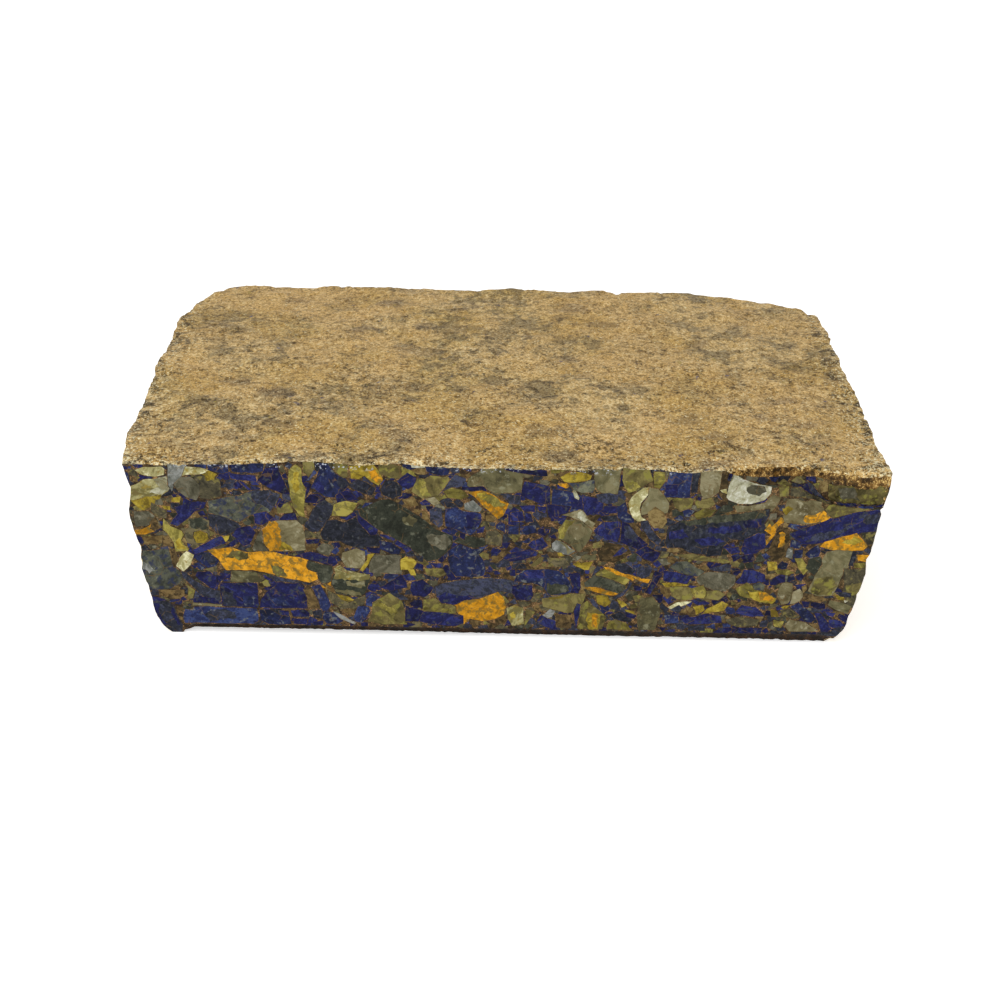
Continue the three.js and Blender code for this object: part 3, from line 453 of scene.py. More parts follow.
olive 18.5 7.3 20 8.6 22.5 6.3 24 5 24.9 4 24 0.4 18 0.4 18.4 4
*yellow 20.4 5.1 23.5 5.1 23.2 0.5 20.8 0.5 20.1 2.5
*orange 21.4 4.9 22.9 5 22.7 1 21.4 1.2
yellow 22 10.4 25 10.1 26 8 24.5 6.9 22.5 7.9
yellow 27.2 9.1 29 8.6 30 7.5 28.5 6.9
slate 25.4 7 26.3 9.1 27.5 8.4 28.4 6.3 26.5 6.2
olive_yellow 25.2 0.5 25.5 2.6 27.5 3.4 30 2.3 31.1 0.5
slate 25.9 4.5 28 5.6 29.5 5.1 31.6 4 30.8 2.7 29 2.7 27 3.6
lapis 29 5.4 30.5 5.1 32.5 4.5 31.5 3.6 29.8 4.2
yellow 29.4 6.2 31.6 6 32 5 29.6 5.8
lapis 8 2.5 9 4.1 11 3.1 12.8 2.6 11.8 0.4 10 0.7
pale_grey 9.3 4.2 11 5.9 12.4 5.5 11.5 3.7 10.5 3.3
brown 12.4 4.6 16.2 4.4 16.4 0.6 12.8 0.8
dark_olive 2.8 8.1 6.5 8.1 6 6.9 4 6.4
olive_yellow 34.1 44.3 36.5 44.2 36.9 42 35.8 39.9 34.4 40.2 34.2 42.5
azure 38.1 46 43.6 46 43.1 42 42.9 37.6 36.7 37.6 37.4 41.5
*lapis 37.2 40.6 39.6 41 40.4 38 37 38
slate 43.3 45.6 44.9 45.2 44.6 39 43.1 39
beige 45.1 45.5 50 45.5 49.9 39.5 48 37.7 46 37.4 45.1 40
brown 50.2 45.5 52.2 45.5 51.6 42 51.8 38 52 36 49.8 38.6
lapis 51.4 42.4 52.2 45.2 52.9 44.4 52.1 42.2
white 53 45 55.5 43.6 60 42 62.1 41.1 61.9 39 60.5 37.4 57.5 36.1 54.5 36.2 52.1 37.1 51.6 38 52 41
*grey 56.2 40.8 58 41.6 60.4 41.1 60.6 39.8 59 38.4 57 38.7 55.9 39.6
beige 53.6 35.8 57 35.6 60.8 36.7 62.4 38.8 64.4 38.2 63.8 36 62.5 34.2 58.3 34.5 54.4 33.9
cream 49.9 39.8 51.5 40.1 51.6 38.7 50.5 39.1
grey_green 33.2 40 35.4 39.8 37 37.8 38.3 36 38.1 33.4 36.5 32.9 34.2 33.6 32 32.6 31.6 34.2 31.9 35.8
  33.3 37.8
tan 33.4 33.4 35 35 37.1 33.5 38.1 31 37.1 29.4 35 29.2 33.9 31
olive 38.9 37.4 44.1 37.4 43.5 35 41 33.9 39.4 35
olive 44.2 36.8 48 37.6 49.1 36 48 34.8 45 34.9
olive_yellow 44.4 33.4 46.5 34.8 49.4 34.6 48 32.4 45.3 31.6 44.6 32.5
lapis 44.6 37.8 45.8 37.9 45.5 36.9 44.7 37.1
dark_green 48.4 32.8 51 35.6 53 36.1 53.6 34.5 51 33.2 49.5 32.5
slate 37.9 25.4 38.4 29.6 41 31.2 45 31.6 49 32.8 55 33.4 61 34.9 62.1 34.9 62.1 33 61.1 31 62.1 28
  61.5 26.4 58 26.4 54 26.4 51.6 24.4 50 21.8 44 22.6 42 23.9 38.5 23.9
*dark_green 41 31.1 45 31.6 49 32.9 55 33.4 61 34.8 61.6 33 55 31.4 49 30.9 43 29.9
*lapis 38.6 28.4 42 29 43.4 26.8 39.2 26.4
*lapis 45 26.6 49.4 27.2 52 26 50 24.6 46 25
*lapis 48 29.4 55 30.6 56.4 29 52 28 48 28.2
*lapis 56 31.6 60.6 32.2 60.4 30 56.6 29.8
lapis 56.2 23.4 57 26.6 60 28.4 61.6 28.1 61.9 24.5 60 22.9 57.5 22.4
lapis 52.4 24 55.6 24.6 56.1 23 53.8 22.6
slate 48.4 24.6 51.9 24.6 51.6 22 48 21.7
slate 31.9 31 33.5 31.2 35 28.2 37.1 26 36.3 24.4 34 26.4 32 29.4
slate 36 29.1 37.6 29.1 37.6 27.9 36.3 27.9
olive 40 22 45 22.4 48 21.6 52 21.1 54.1 20.5 53 19.7 48 20.4 44 20.9
blue_grey 41 20.2 43.5 20.2 46 18.6 48.1 17.4 47.5 15.9 45 16.2 42.5 16.9 39.4 18.5
slate 49 18.1 51.5 19.1 53 19.9 54.4 19.6 54.1 17.8 51 17.4
tan 46.9 18.5 48 19.6 49.1 18.2 48 17.7
lapis 38.2 17.6 41 17.1 45.1 16.1 44 13.9 42 13.9 38.4 14.6 38 16
yellow 37.9 14.1 41 14.2 44.6 13.6 43 12.7 39 12.9
tan 37.7 13 40 12.6 40.6 11 39.5 9.7 37.9 11.5
olive 40 13 44 13.2 46.1 12 45.5 9.4 42 9.4 40.4 10.5
cream 39.9 7 42 8.6 45.6 8.9 44 7.9 41 6.5
grey 48 17.2 52 17.4 55.6 16.5 55.6 14 53.5 11.9 50 12.4 47 13.9 45.9 15.5
olive_yellow 44.9 12.5 48 13.7 49.1 11.5 48.5 9.9 46 10.1
olive 49 12.1 52 12.1 53.6 11 52 9.4 49 9.7
lapis 52.2 9.5 53.8 10.3 54.6 9.3 53.8 8.7
slate 46 9.7 49 9.4 47.5 8.8
yellow 51.2 8 53 9.1 54.4 8.3 53.5 6.4 51 5.9 48.5 5.4 49.4 7
yellow 46 7.4 48.4 8 48.8 6.4 47 5.2
lapis 57.4 18.3 59.5 18.1 62.6 16.9 62.9 14.8 60 14.4 56.3 14.2 55.6 14.4 57 16.3
olive_yellow 55.9 13 58.5 14.6 61 12.9 63 12 66 10.2 65.5 8.6 63 8.9 60 10 57 10.7
*yellow 59 12.2 63 11.9 66 10.1 65.5 8.7 63 9 60 10.1
*orange 61.6 12 63.4 11.6 66 10 65.4 9.2 62.4 9.8
lapis 56.2 5.8 57.8 8.1 61.5 7.6 63.6 5 60.5 4.9 57.5 5.4
lapis 43.6 3.8 46.5 4.6 49.5 5.4 52.9 4.9 53.3 3 50 2.6 47 2.3 44.4 2.5
azure 39.1 4.7 42.5 5 42.9 2.7 39.4 2.3
slate 40.4 6.4 42.5 7.8 43.6 6.8 42.5 5.4
slate 38.2 8.6 40.1 6.8 39.3 5.1 37.9 7
lapis 51.1 -0.2 53 1.3 54.5 2 56 1.4 60 1.8 63.4 1.6 63.2 -0.2
azure 53.4 2.6 55.6 3.1 55.5 1.7 53.8 1.6
slate 45.2 1.9 49 2.3 49.4 0.5 45.2 0.4
slate 42.2 2.6 44.1 2.7 44.4 0.9 42.4 0.7
slate 40.2 1.8 41.6 1.3 40.5 0.9
grey_green 32.9 9.6 36 10.1 37.6 8 38 5 37.1 0.5 33 0.5 32.4 4
lapis 33.9 11.2 35.4 14.5 35.9 17.4 38.1 16.6 36.6 13.5 35.4 10.9
slate 31.7 18 34 19.6 35.6 18 34.6 15.9 33 15.2 31.7 16
orange 63 30 65 32.9 66 31.8 64 29.8 64 28 62.2 25.1 62 26.4 63 28 61.4 29.2 62.4 31.2
brown 63.4 26 65 30 67.1 30 67.6 26 67 22 64 20.9 62.7 22.5
*orange 65 28.6 66.4 28.8 66.6 25.6 65.2 24.6
azure 61.2 22.4 62.2 22.9 63.4 22 62.5 20.9
dark_green 57.4 20 59.6 20.4 59.6 18.8 58 18.6
yellow 62.9 20.6 65.1 20.6 65.4 18.4 63.4 17.9
blue_grey 59.9 14 61.5 14.9 63.1 13.8 62.8 12.4 60.5 12.7
dark_olive 54 4 58 4.9 62.6 4 62 2.1 57 1.9 55 2.7
beige 66 37.8 68 37.9 70 37.1 74 38.1 74.2 36 75.1 35 76.7 33 75.4 32 73 31.2 70 30.9 66 31.4 65.4 33
  65.6 36
*yellow 65.2 35 66.5 36.2 67.4 34.8 66 33.4
*orange 70.4 33 73.5 34 75 34.9 76.6 33 75.4 32.1 73 31.3 70.8 31.4
olive 63.4 42 66.1 41.6 66.2 38.4 64 38.4
dark_olive 66.4 40.6 72 41 76.8 38.6 75.5 37 70 38.2 66.6 38.4
olive 77 37.6 82 36.3 86 35.6 85 35.1 80 33.5 77 32.9 75 35
lapis 67.4 28.3 70 29.6 74 31.3 78 32.9 82 34.4 86 35.1 89 35.4 89 31.5 87.6 29.2 83 28.6 80 27.7
  76 26.4 74.5 25.7 71 25.7 69 26.9
*slate 74 28.6 79 29.6 83 31.6 80 28.6 75.6 26.8 71 26.2
*slate 84 33.6 88.6 34.6 88.6 32 85 31.2
lapis 68.5 30.3 72 30.8 73 31.1 70 29.9
orange 76 26.3 80 27.8 83.4 28.8 85.1 27 86.4 25.5 85.5 24.1 82 23.9 78 24.1 75 25
*yellow 80 26 83 28 85 26.6 83 25.6
dark_olive 84.4 28.9 88 29.4 88 26 86.4 25.7 85.2 27.1
azure 71.7 22.8 73 24.4 74.5 25.4 75.3 24 75 22.5 74 21.6 73 21.7
azure 68.9 23.9 71.1 24.1 71.1 21.9 69.4 21.7
pale_grey 67.4 24.4 68.6 24.6 68.8 21.4 67.2 22
grey_green 76.9 23.5 79 24.1 83.4 23.8 83.1 20.5 81.5 17.4 80.5 14 79.5 11.4 76 10.9 73.5 12.5 74.4 15.5
  75.4 19 75.9 21.5
*olive 75 16 79 17 80.4 14 79.4 11.6 76 11.1 73.8 12.6
slate 83.2 24 84.4 23.5 83.6 19.7 82.4 19.9
orange 84.1 22.9 87.4 23 87.2 20.9 84.5 21.4
olive_yellow 83.6 20.6 87 20.8 87 19.4 84 19.2
dark_olive 81.4 19 87 18.9 87 14 86 9 84 8 82 11 82.2 14 81.6 17
*olive 82.6 14.6 86.4 15 86 11.4 83 11.6
beige 66.2 12.5 67.5 15.1 69.5 14.6 70.1 11 69 8.9 67.5 8.6 66.2 10.5
beige 70 12.2 71.5 13.1 72.9 11.5 71.5 8.9 69.6 8.7
lapis 63.9 15.3 66.5 17.1 67.6 17.1 67.7 15 65.5 14.2 64.1 13.9
pale_grey 67.6 17.1 68.3 16.9 68.1 15.1 67.7 15
lapis 69.9 16.6 71 17.3 72.4 17.1 71.5 15.4 70.7 15.4
olive_yellow 69.4 21.6 71 21.6 73.1 18.8 72 16.9 70.4 19
olive_yellow 65 18.1 68 18.6 69.6 17.6 68 16.9 65.5 17.2
dark_green 72.8 21.4 75.5 22.4 76.1 20 74.6 16.9 72.4 19
tan 71.9 13.6 73 14.4 73.3 12.8 72.5 11.9
brown 72.4 12 77 10.9 79 10.2 76 9.4 72.6 10
azure 69.7 8 71.5 9.4 73.6 7.5 75 6 76.4 4.7 75.3 3.4 74 3.6 72 5.9
lapis 72.4 9.6 74.4 9.4 74 7.9 73 7.9
lapis 74.4 9.5 78.1 8.9 78.4 7.5 76.5 7.4 74.8 8.1
lapis 75.7 6.4 77.5 6.1 79.1 4 80.6 2 79.5 0.8 78 0.9 77 3.4
lapis 78.4 6.9 80.9 6.3 80.5 5.1 79 5.7
lapis 81.9 6.1 85 4.8 85 2.6 82.5 4.4 81.5 5.4
lapis 79.5 4.4 82.4 4.3 83.6 2.6 80.8 1.9 79.8 2.4
slate 77 0.9 80 0.6 82 2.1 84.6 2.4 84.4 0.2 80 -0.6 77 -0.4
beige 70 4.4 74 3.4 77.4 0.9 75 0.8 70 0.9 68.8 2.5
yellow 64.9 7.1 66.5 6.6 67.1 5.1 65.4 4.9
olive_yellow 65.9 4.1 68.6 3.6 68.1 1.9 66.2 2.2
yellow 67.4 7.8 69.6 8.4 68.5 7.1
slate 70.4 0.7 74.6 0.8 74.6 -0.3 71 -0.3
dark_olive 67.4 7 69.5 7.6 72.1 5.4 70 4.5 68 5.4
yellow 80.1 11.6 82.5 10.9 82.8 9.8 81 10.1
white 82.6 10.1 83.6 9.8 83 9.2
slate 80.2 12.4 84.1 12.1 84.1 10.9 81.5 11.2
grey_green 79 10 82 9.4 84.6 8.2 84 6.2 81 7.2 79 8.6
olive 75.8 43.8 82 44 88 44 90 43.6 90 39.6 86 39.2 83 39.6 78 39.8 75.8 41
*grey 78 43.4 82 43.6 83.4 41 79 41
*white 76.5 44.2 82 44.1 88 44.1 90 43.7 90 43.3 86 43.7 81 43.6 76.5 43.9
lapis 77.4 39.6 80 39.2 83.2 38.9 82 37.7 79 37.9
azure 82.9 37.8 86.6 38.1 86.4 35.7 84 35.7 82.9 36.7
slate 69.6 44.4 73 42.3 76.5 39.2 75.5 39 71.5 41.9
"""

# Where flakes came off along the sawn face's top edge: the middle of each along the face and above
# the base, and half its size along the face, into the block and upwards
TOP_FLAKES = (
    (-83.0, 46.9, 4.0, 1.4, 1.3),
    (-62.0, 47.9, 11.0, 2.2, 1.5),
    (-36.0, 48.2, 9.0, 1.5, 1.2),
    (-19.0, 48.2, 6.0, 2.4, 1.6),
    (6.0, 48.2, 11.0, 1.8, 1.4),
    (41.0, 48.1, 6.0, 2.2, 1.5),
    (64.0, 47.5, 13.0, 4.4, 4.2),
    (84.0, 44.1, 15.0, 3.0, 6.0),
)
# The foot of the sawn face is hollowed out, less so towards its right
HOLLOW = {"from": -79.0, "to": 82.0, "end": 5.0, "into_left": 2.5, "into_right": 1.1, "up": 2.6}

# What lies in a flake is pushed back from a place this far in front of its middle and above it, or
# below it at the foot, in half sizes of the flake. The broken face is a little rough.
FLAKE_PUSH = 1.2
FLAKE_ROUGH = {"by": 0.2, "size": 0.9}

# How finely the sawn face is cut up where flakes came off, a little past their ends, and along its
# foot, and how near its rim that stops
FINE_STEP = 0.7
FINE_SHAKE = 0.2
FLAKE_REACH = 1.1
FOOT_CELLS = range(-115, 120)
FOOT_ROWS = 4
RIM_GAP = 0.3

# How near to each other two places are to count as one
TOUCHING = 1e-4
# What the triangulation makes: the triangles inside the outlines, with points this near as one
TRIANGLES_INSIDE = 1
POINTS_MERGED = 1e-3
# An edge or a side runs along an axis if this much of its direction does
MOSTLY = 0.7

# How outlines are broken up: how long one step along them is, and how far its ends may move
CHIP_EDGE = {"step": 1.5, "shake": 0.13}
PATCH_EDGE = {"step": 0.7, "shake": 0.28}
# The crumbs: where they lie, their sizes, how far they keep apart, how many differ from the chip
# beside them, how much wider than high they are, and how far out their corners lie
CRUMB_AREA = {"across": 90, "up": 45}
CRUMB_SIZE = {"least": 0.35, "range": 1.3, "power": 1.5}
CRUMB_GAP = 0.62
CRUMB_STRAYS = 0.3
CRUMB_WIDTH = 1.3
CRUMB_CORNERS = (0.6, 1.3)
# The binder round a crumb and round a chip, as shares of the rim
CRUMB_RIM = 0.6
CHIP_RIMS = (0.3, 1.3)
# How many shades a patch has to take one from
PATCH_SHADES = 999

# How far back the undercut foot, whose darker binder is painted shade, and the broken top skin reach,
# and how far a flake has to move the skin for it to be broken
UNDERCUT_REACH = 3.0
BROKEN_REACH = 6.0
BROKEN_MOVE = 2.0
MOST_TRIANGLES = 200000

# Where each side of the block lies on the colour map: the corner it starts from, how much of the map
# one metre takes, the frame's axis that runs across the map and the one that runs up it
SHEET = {
    "front": ((0.005, 0.005), 5.0, 0, 2),
    "top": ((0.005, 0.255), 4.3, 0, 1),
    "back": ((0.005, 0.775), 2.9, 0, 2),
    "left": ((0.555, 0.775), 2.9, 1, 2),
    "right": ((0.005, 0.925), 1.5, 1, 2),
    "base": ((0.805, 0.255), 1.55, 1, 0),
}
SIDES = tuple(SHEET)
# The place across the frame that the map starts from
SHEET_LEFT = -93.0

# How far off along each axis a chip's pattern is taken from at most, and how far it is turned, in
# radians
CHIP_APART = (970, 410, 630)
FULL_TURN = 6.2832

# The lamp, in metres
LAMP_PLACE = (-0.25, -0.35, 0.9)
LAMP_AIM = (0.25, 0.4, -0.88)
LAMP_SIZE = (1.0, 0.8)


def colour(code):
    """A colour from its code as linear red, green and blue."""
    parts = [int(code[at:at + 2], 16) / 255 for at in (1, 3, 5)]
    return [part / 12.92 if part <= 0.04045 else ((part + 0.055) / 1.055) ** 2.4 for part in parts]


def ramp(value, low, high):
    """Rises smoothly from 0 to 1 as the value goes from low to high."""
    part = min(1.0, max(0.0, (value - low) / (high - low)))
    return part * part * (3 - 2 * part)


def chance(i, j, k):
    """A number from -1 to 1 that is always the same for the same three whole numbers."""
    wide = math.sin(i * 127.1 + j * 311.7 + k * 74.7) * 43758.5453
    return 2 * (wide - math.floor(wide)) - 1


def lumps(x, y, z, kind):
    """How far smooth lumps of one kind stand out at a point."""
    size = kind["size"]
    low = [math.floor(value / size) for value in (x, y, z)]
    a, b, c = (ramp(value / size - start, 0, 1) for value, start in zip((x, y, z), low))

    def along(j, k):
        near = chance(low[0], low[1] + j, low[2] + k)
        far = chance(low[0] + 1, low[1] + j, low[2] + k)
        return near + (far - near) * a

    lower = along(0, 0) + (along(1, 0) - along(0, 0)) * b
    upper = along(0, 1) + (along(1, 1) - along(0, 1)) * b
    return kind["height"] * (lower + (upper - lower) * c)


def back_edge(x):
    """How far back the top's back edge lies at x."""
    past = (x - BACK_STEP["at"]) / BACK_STEP["recovery"]
    ledge = ramp(x, BACK_STEP["at"], BACK_STEP["at"] + BACK_STEP["over"])
    step = BACK_STEP["by"] * ledge * max(BACK_STEP["least"], 1 - max(0, past))
    fallen = max(0, x - BACK_FALL["from"]) / (FORM["half"] - BACK_FALL["from"])
    return FORM["depth"] - step - BACK_FALL["by"] * fallen ** BACK_FALL["power"]


def round_off(point, core):
    """Moves a point out of a square corner onto a round one about the nearest point of the middle."""
    away = point - core
    reach = max(abs(part) for part in away)
    return point if reach < 1e-6 else core + away.normalized() * reach


def clamp(value, low, high):
    """The value, or the end of the range that it lies beyond."""
    return min(high, max(low, value))


def skin_height(x, y):
    """How high the top skin lies: domed across the sawn face, and flatter towards the back."""
    across = 1 - min(1, abs(x - FORM["dome_at"]) / FORM["half"]) ** 4
    height = FORM["dome"] * across * (1 - FORM["dome_fall"] * y / FORM["depth"])
    height -= BACK_SINK["by"] * ramp(y, BACK_SINK["from"], BACK_SINK["to"])
    behind = ramp(y, CORNER_SINK["behind"], BACK_SINK["to"])
    height -= CORNER_SINK["by"] * behind * ramp(-x, CORNER_SINK["from"], CORNER_SINK["to"])
    return height + lumps(x, y, 0, TOP_SWELL) + lumps(x, y, 9, TOP_LUMPS)


def cast_point(u, v, w):
    """Where the cast surface lies for a point of a plain box: u across, v back and w up."""
    half, foot_radius, low = FORM["half"], FORM["foot"], -FORM["base_waste"]
    point = Vector((u * half, 0, low + (FORM["height"] - low) * w ** FORM["crowding"]))
    back = back_edge(point.x)
    point.y = -FORM["saw_waste"] + (back + FORM["saw_waste"]) * v ** FORM["front_crowding"]

    corner = FORM["back_left"] if u < 0 else FORM["back_right"]
    upright = (clamp(point.x, corner - half, half - corner), min(point.y, back - corner), point.z)
    cast = round_off(point, Vector(upright))
    reach = half - foot_radius
    foot = (clamp(cast.x, -reach, reach), min(cast.y, back - foot_radius),
            max(cast.z, low + foot_radius))
    cast = round_off(cast, Vector(foot))

    below = 1 - cast.z / FORM["height"]
    cast.x *= 1 - (FORM["draft"] / half) * below
    cast.y *= 1 - (FORM["draft"] / FORM["depth"]) * below
    bow = FORM["left_bow"] * math.sin(math.pi * clamp(cast.y / FORM["depth"], 0, 1))
    drawn_in = LEFT_DRAWN_IN["by"] * ramp(cast.y, LEFT_DRAWN_IN["from"], LEFT_DRAWN_IN["to"])
    cast.x += (drawn_in - bow) * max(0, -u) ** 2 - FORM["lean"] * below

    x, y, z = cast
    part = LUMPS_AT_FOOT + LUMPS_RISE * w
    wall = lumps(x, y, z, WALL_SWELL) + part * lumps(x, y, z, WALL_LUMPS)
    cast.x += wall * math.copysign(abs(u) ** WALL_POWER, u)
    cast.y += wall * v ** WALL_POWER
    if w > 0.9999:
        cast.z += skin_height(x, y)
    return cast


def grain(point, settings):
    """How far the cast skin stands out at a point: small lumps, and pits between them."""
    if point.z < GRAIN_RISE[0]:
        return 0.0
    fine = noise.noise(point / GRAIN_SIZES["fine"]) * GRAIN_HEIGHTS["fine"]
    coarse = noise.noise(point / GRAIN_SIZES["coarse"] + Vector((31, 7, 3)))
    coarse *= GRAIN_HEIGHTS["coarse"]
    pit = ramp(noise.noise(point / GRAIN_SIZES["pit"] + Vector((5, 50, 9))), *PIT_NOISE)
    height = settings.grain / MM * (fine + coarse - GRAIN_HEIGHTS["pit"] * pit)
    return height * ramp(point.z, *GRAIN_RISE)


def hollow(x):
    """The hollow of the foot at x as a list of one flake, or an empty list beyond its ends."""
    start, stop = HOLLOW["from"] + HOLLOW["end"], HOLLOW["to"] - HOLLOW["end"]
    beyond = max(start - x, x - stop, 0) / HOLLOW["end"]
    if beyond >= 1:
        return []
    part = clamp((x - start) / (stop - start), 0, 1)
    into = HOLLOW["into_left"] + (HOLLOW["into_right"] - HOLLOW["into_left"]) * part
    shrunk = math.sqrt(1 - beyond ** 2)
    return [(Vector((x, 0, 0)), Vector((1, into * shrunk, HOLLOW["up"] * shrunk)))]


def flaked(point, flakes):
    """Moves a point that lies in a flake to where it broke off, away from the edge of the block."""
    for middle, size in flakes:
        away = Vector(part / whole for part, whole in zip(point - middle, size))
        if away.length < 1:
            upwards = FLAKE_PUSH if middle.z else -FLAKE_PUSH
            outside = Vector((away.x, -FLAKE_PUSH, upwards))
            step = away - outside
            slope = away.dot(step) / step.length_squared
            reach = (1 - away.length_squared) / step.length_squared
            far = math.sqrt(slope * slope + reach) - slope
            far *= 1 + FLAKE_ROUGH["by"] * noise.noise(point / FLAKE_ROUGH["size"])
            point = point + Vector(part * whole * far for part, whole in zip(step, size))
            point.z = max(point.z, 0.0)
    return point


def select_edges(axis):
    """Selects the edges that run along one axis, in edit mode."""
    mesh = bpy.context.edit_object.data
    built = bmesh.from_edit_mesh(mesh)
    for edge in built.edges:
        run = edge.verts[1].co - edge.verts[0].co
        edge.select_set(abs(run[axis]) > MOSTLY * run.length)
    bmesh.update_edit_mesh(mesh)


def gridded_cube(settings):
    """A cube whose sides are cut into cells, about one grain of the skin each."""
    bpy.ops.object.select_all(action="DESELECT")
    bpy.ops.mesh.primitive_cube_add(size=2)
    bpy.ops.object.mode_set(mode="EDIT")
    bpy.ops.mesh.select_mode(type="EDGE")
    lengths = (2 * FORM["half"], FORM["depth"], FORM["height"])
    for axis, length in enumerate(lengths):
        cells = round(length * MM / settings.cell)
        for cuts in (2, cells // 3 - 1):
            select_edges(axis)
            bpy.ops.mesh.subdivide(number_cuts=cuts)
    bpy.ops.object.mode_set(mode="OBJECT")
    return bpy.context.object


def side_of(normal):
    """The name of the side that a face of the plain cube belongs to."""
    if abs(normal.z) > MOSTLY:
        return "top" if normal.z > 0 else "base"
    if abs(normal.y) > MOSTLY:
        return "back" if normal.y > 0 else "front"
    return "right" if normal.x > 0 else "left"


def cast(obj, settings):
    """Gives the gridded cube the cast form, and its skin the grain."""
    mesh = obj.data
    sides = mesh.attributes.new("side", "INT", "FACE")
    for face, side in zip(mesh.polygons, sides.data):
        side.value = SIDES.index(side_of(face.normal))
    for vertex in mesh.vertices:
        u, v, w = vertex.co
        vertex.co = cast_point(u, (v + 1) / 2, (w + 1) / 2)
    mesh.update()
    normals = [vertex.normal.copy() for vertex in mesh.vertices]
    for vertex, normal in zip(mesh.vertices, normals):
        vertex.co += normal * grain(vertex.co, settings)


def saw(obj):
    """Saws off the front and dresses the base, and leaves both open."""
    bpy.ops.object.mode_set(mode="EDIT")
    for normal in ((0, 1, 0), (0, 0, 1)):
        bpy.ops.mesh.select_all(action="SELECT")
        bpy.ops.mesh.bisect(plane_co=(0, 0, 0), plane_no=normal, clear_inner=True)
    bpy.ops.object.mode_set(mode="OBJECT")


def read_chips():
    """The drawn chips as (kind, True for a patch inside a chip, outline)."""
    lines = CHIPS.strip().replace("\n  ", " ").split("\n")
    chips = []
    for row in map(str.split, lines):
        kind, numbers = row[0], [float(word) for word in row[1:]]
        outline = [Vector(pair) for pair in zip(numbers[::2], numbers[1::2])]
        chips.append((kind.lstrip("*"), kind.startswith("*"), outline))
    return chips


def inside(point, outline):
    """Whether a point lies within an outline."""
    within = False
    for a, b in zip(outline, outline[1:] + outline[:1]):
        if (a.y > point.y) != (b.y > point.y):
            if point.x < a.x + (b.x - a.x) * (point.y - a.y) / (b.y - a.y):
                within = not within
    return within


def widened(outline, by):
    """The outline moved outwards by a rim's width."""
    pairs = list(zip(outline, outline[1:] + outline[:1]))
    turn = sum(a.x * b.y - b.x * a.y for a, b in pairs)
    outwards = [Vector((b.y - a.y, a.x - b.x)).normalized() * math.copysign(by, turn)
                for a, b in pairs]
    return [point + (before + after).normalized() * by
            for point, before, after in zip(outline, outwards[-1:] + outwards[:-1], outwards)]


def shaken(dice, reach):
    """A small step in any direction."""
    return Vector((dice.uniform(-reach, reach), dice.uniform(-reach, reach)))


def roughened(outline, edge, dice):
    """The outline in short steps with its points moved a little, as a broken edge is."""
    points = []
    for here, after in zip(outline, outline[1:] + outline[:1]):
        parts = max(1, round((after - here).length / edge["step"]))
        for part in range(parts):
            off = shaken(dice, edge["shake"])
            points.append(here.lerp(after, part / parts) + off)
    return points


def crumbs(chips, settings, dice):
    """Small broken bits of stone in the binder between the drawn chips."""
    blues = ("lapis", "lapis", "lapis", "azure", "slate", "slate", "dark_green")
    earths = ("olive", "brown", "brown", "tan", "dark_olive", "dark_olive", "grey", "slate")
    wide, high = CRUMB_AREA["across"], CRUMB_AREA["up"]
    spans = [(min(p.x for p in o), max(p.x for p in o), min(p.y for p in o), max(p.y for p in o), o)
             for _, _, o in chips]
    found, laid = [], []
    for i in range(settings.crumbs):
        middle = Vector((dice.uniform(-wide, wide), dice.uniform(0, high)))
        share = (1 - i / settings.crumbs) ** CRUMB_SIZE["power"]
        size = CRUMB_SIZE["least"] + CRUMB_SIZE["range"] * share
        if any((middle - other).length < CRUMB_GAP * (size + its) for other, its in laid):
            continue
        if any(left < middle.x < right and low < middle.y < top and inside(middle, outline)
               for left, right, low, top, outline in spans):
            continue
        laid.append((middle, size))
        near = min(chips, key=lambda chip: (chip[2][0] - middle).length)
        blue = near[0] in blues
        kind = dice.choice(blues if blue != (dice.random() < CRUMB_STRAYS) else earths)
        start, count = dice.uniform(0, 6), dice.choice((3, 4, 4, 5))
        corners = []
        for corner in range(count):
            angle = start + 2 * math.pi * corner / count
            long = size * dice.uniform(*CRUMB_CORNERS)
            away = Vector((CRUMB_WIDTH * math.cos(angle), math.sin(angle)))
            corners.append(middle + away * long)
        found.append((kind, False, corners))
    return found


def mosaic(settings):
    """What shows on the sawn face, from the bottom up, as (kind, number of its chip, outline)."""
    dice = random.Random(settings.seed)
    chips = read_chips()
    bits = crumbs(chips, settings, dice)
    shapes = []
    number = 0
    for i, (kind, is_patch, outline) in enumerate(bits + chips):
        if is_patch:
            edge = roughened(outline, PATCH_EDGE, dice)
            shapes.append((kind, dice.randint(1, PATCH_SHADES), edge))
            continue
        number += 1
        rim = settings.rim / MM * (CRUMB_RIM if i < len(bits) else dice.uniform(*CHIP_RIMS))
        shapes.append((BINDER, 0, widened(outline, rim)))
        shapes.append((kind, number, roughened(outline, CHIP_EDGE, dice)))
    return shapes


def flattened(ring, across, up):
    """The places of a ring's vertices along two axes."""
    return [Vector((vertex.co[across], vertex.co[up])) for vertex in ring]


def split_rim(built, ring, flat, across, up, made):
    """Splits the ring's edges where the triangulation has points on them.

    Returns the vertices that stand on the ring, each under the number of its point.
    """
    places, sides, _, from_points, from_edges, _ = made
    known = {}
    for at, sources in enumerate(from_points):
        rim = [source for source in sources if source < len(ring)]
        if rim:
            known[at] = ring[rim[0]]
    crossings = {}
    for (a, b), sources in zip(sides, from_edges):
        for source in sources:
            if source < len(ring):
                crossings.setdefault(source, set()).update((a, b))
    for source, found in crossings.items():
        here, after = ring[source], ring[(source + 1) % len(ring)]
        start = flat[source]
        middle = [at for at in found if at not in known]
        for at in sorted(middle, key=lambda at: (places[at] - start).length):
            edge = built.edges.get((here, after))
            part = (places[at] - Vector((here.co[across], here.co[up]))).length / edge.calc_length()
            _, here = bmesh.utils.edge_split(edge, here, part)
            known[at] = here
    return known


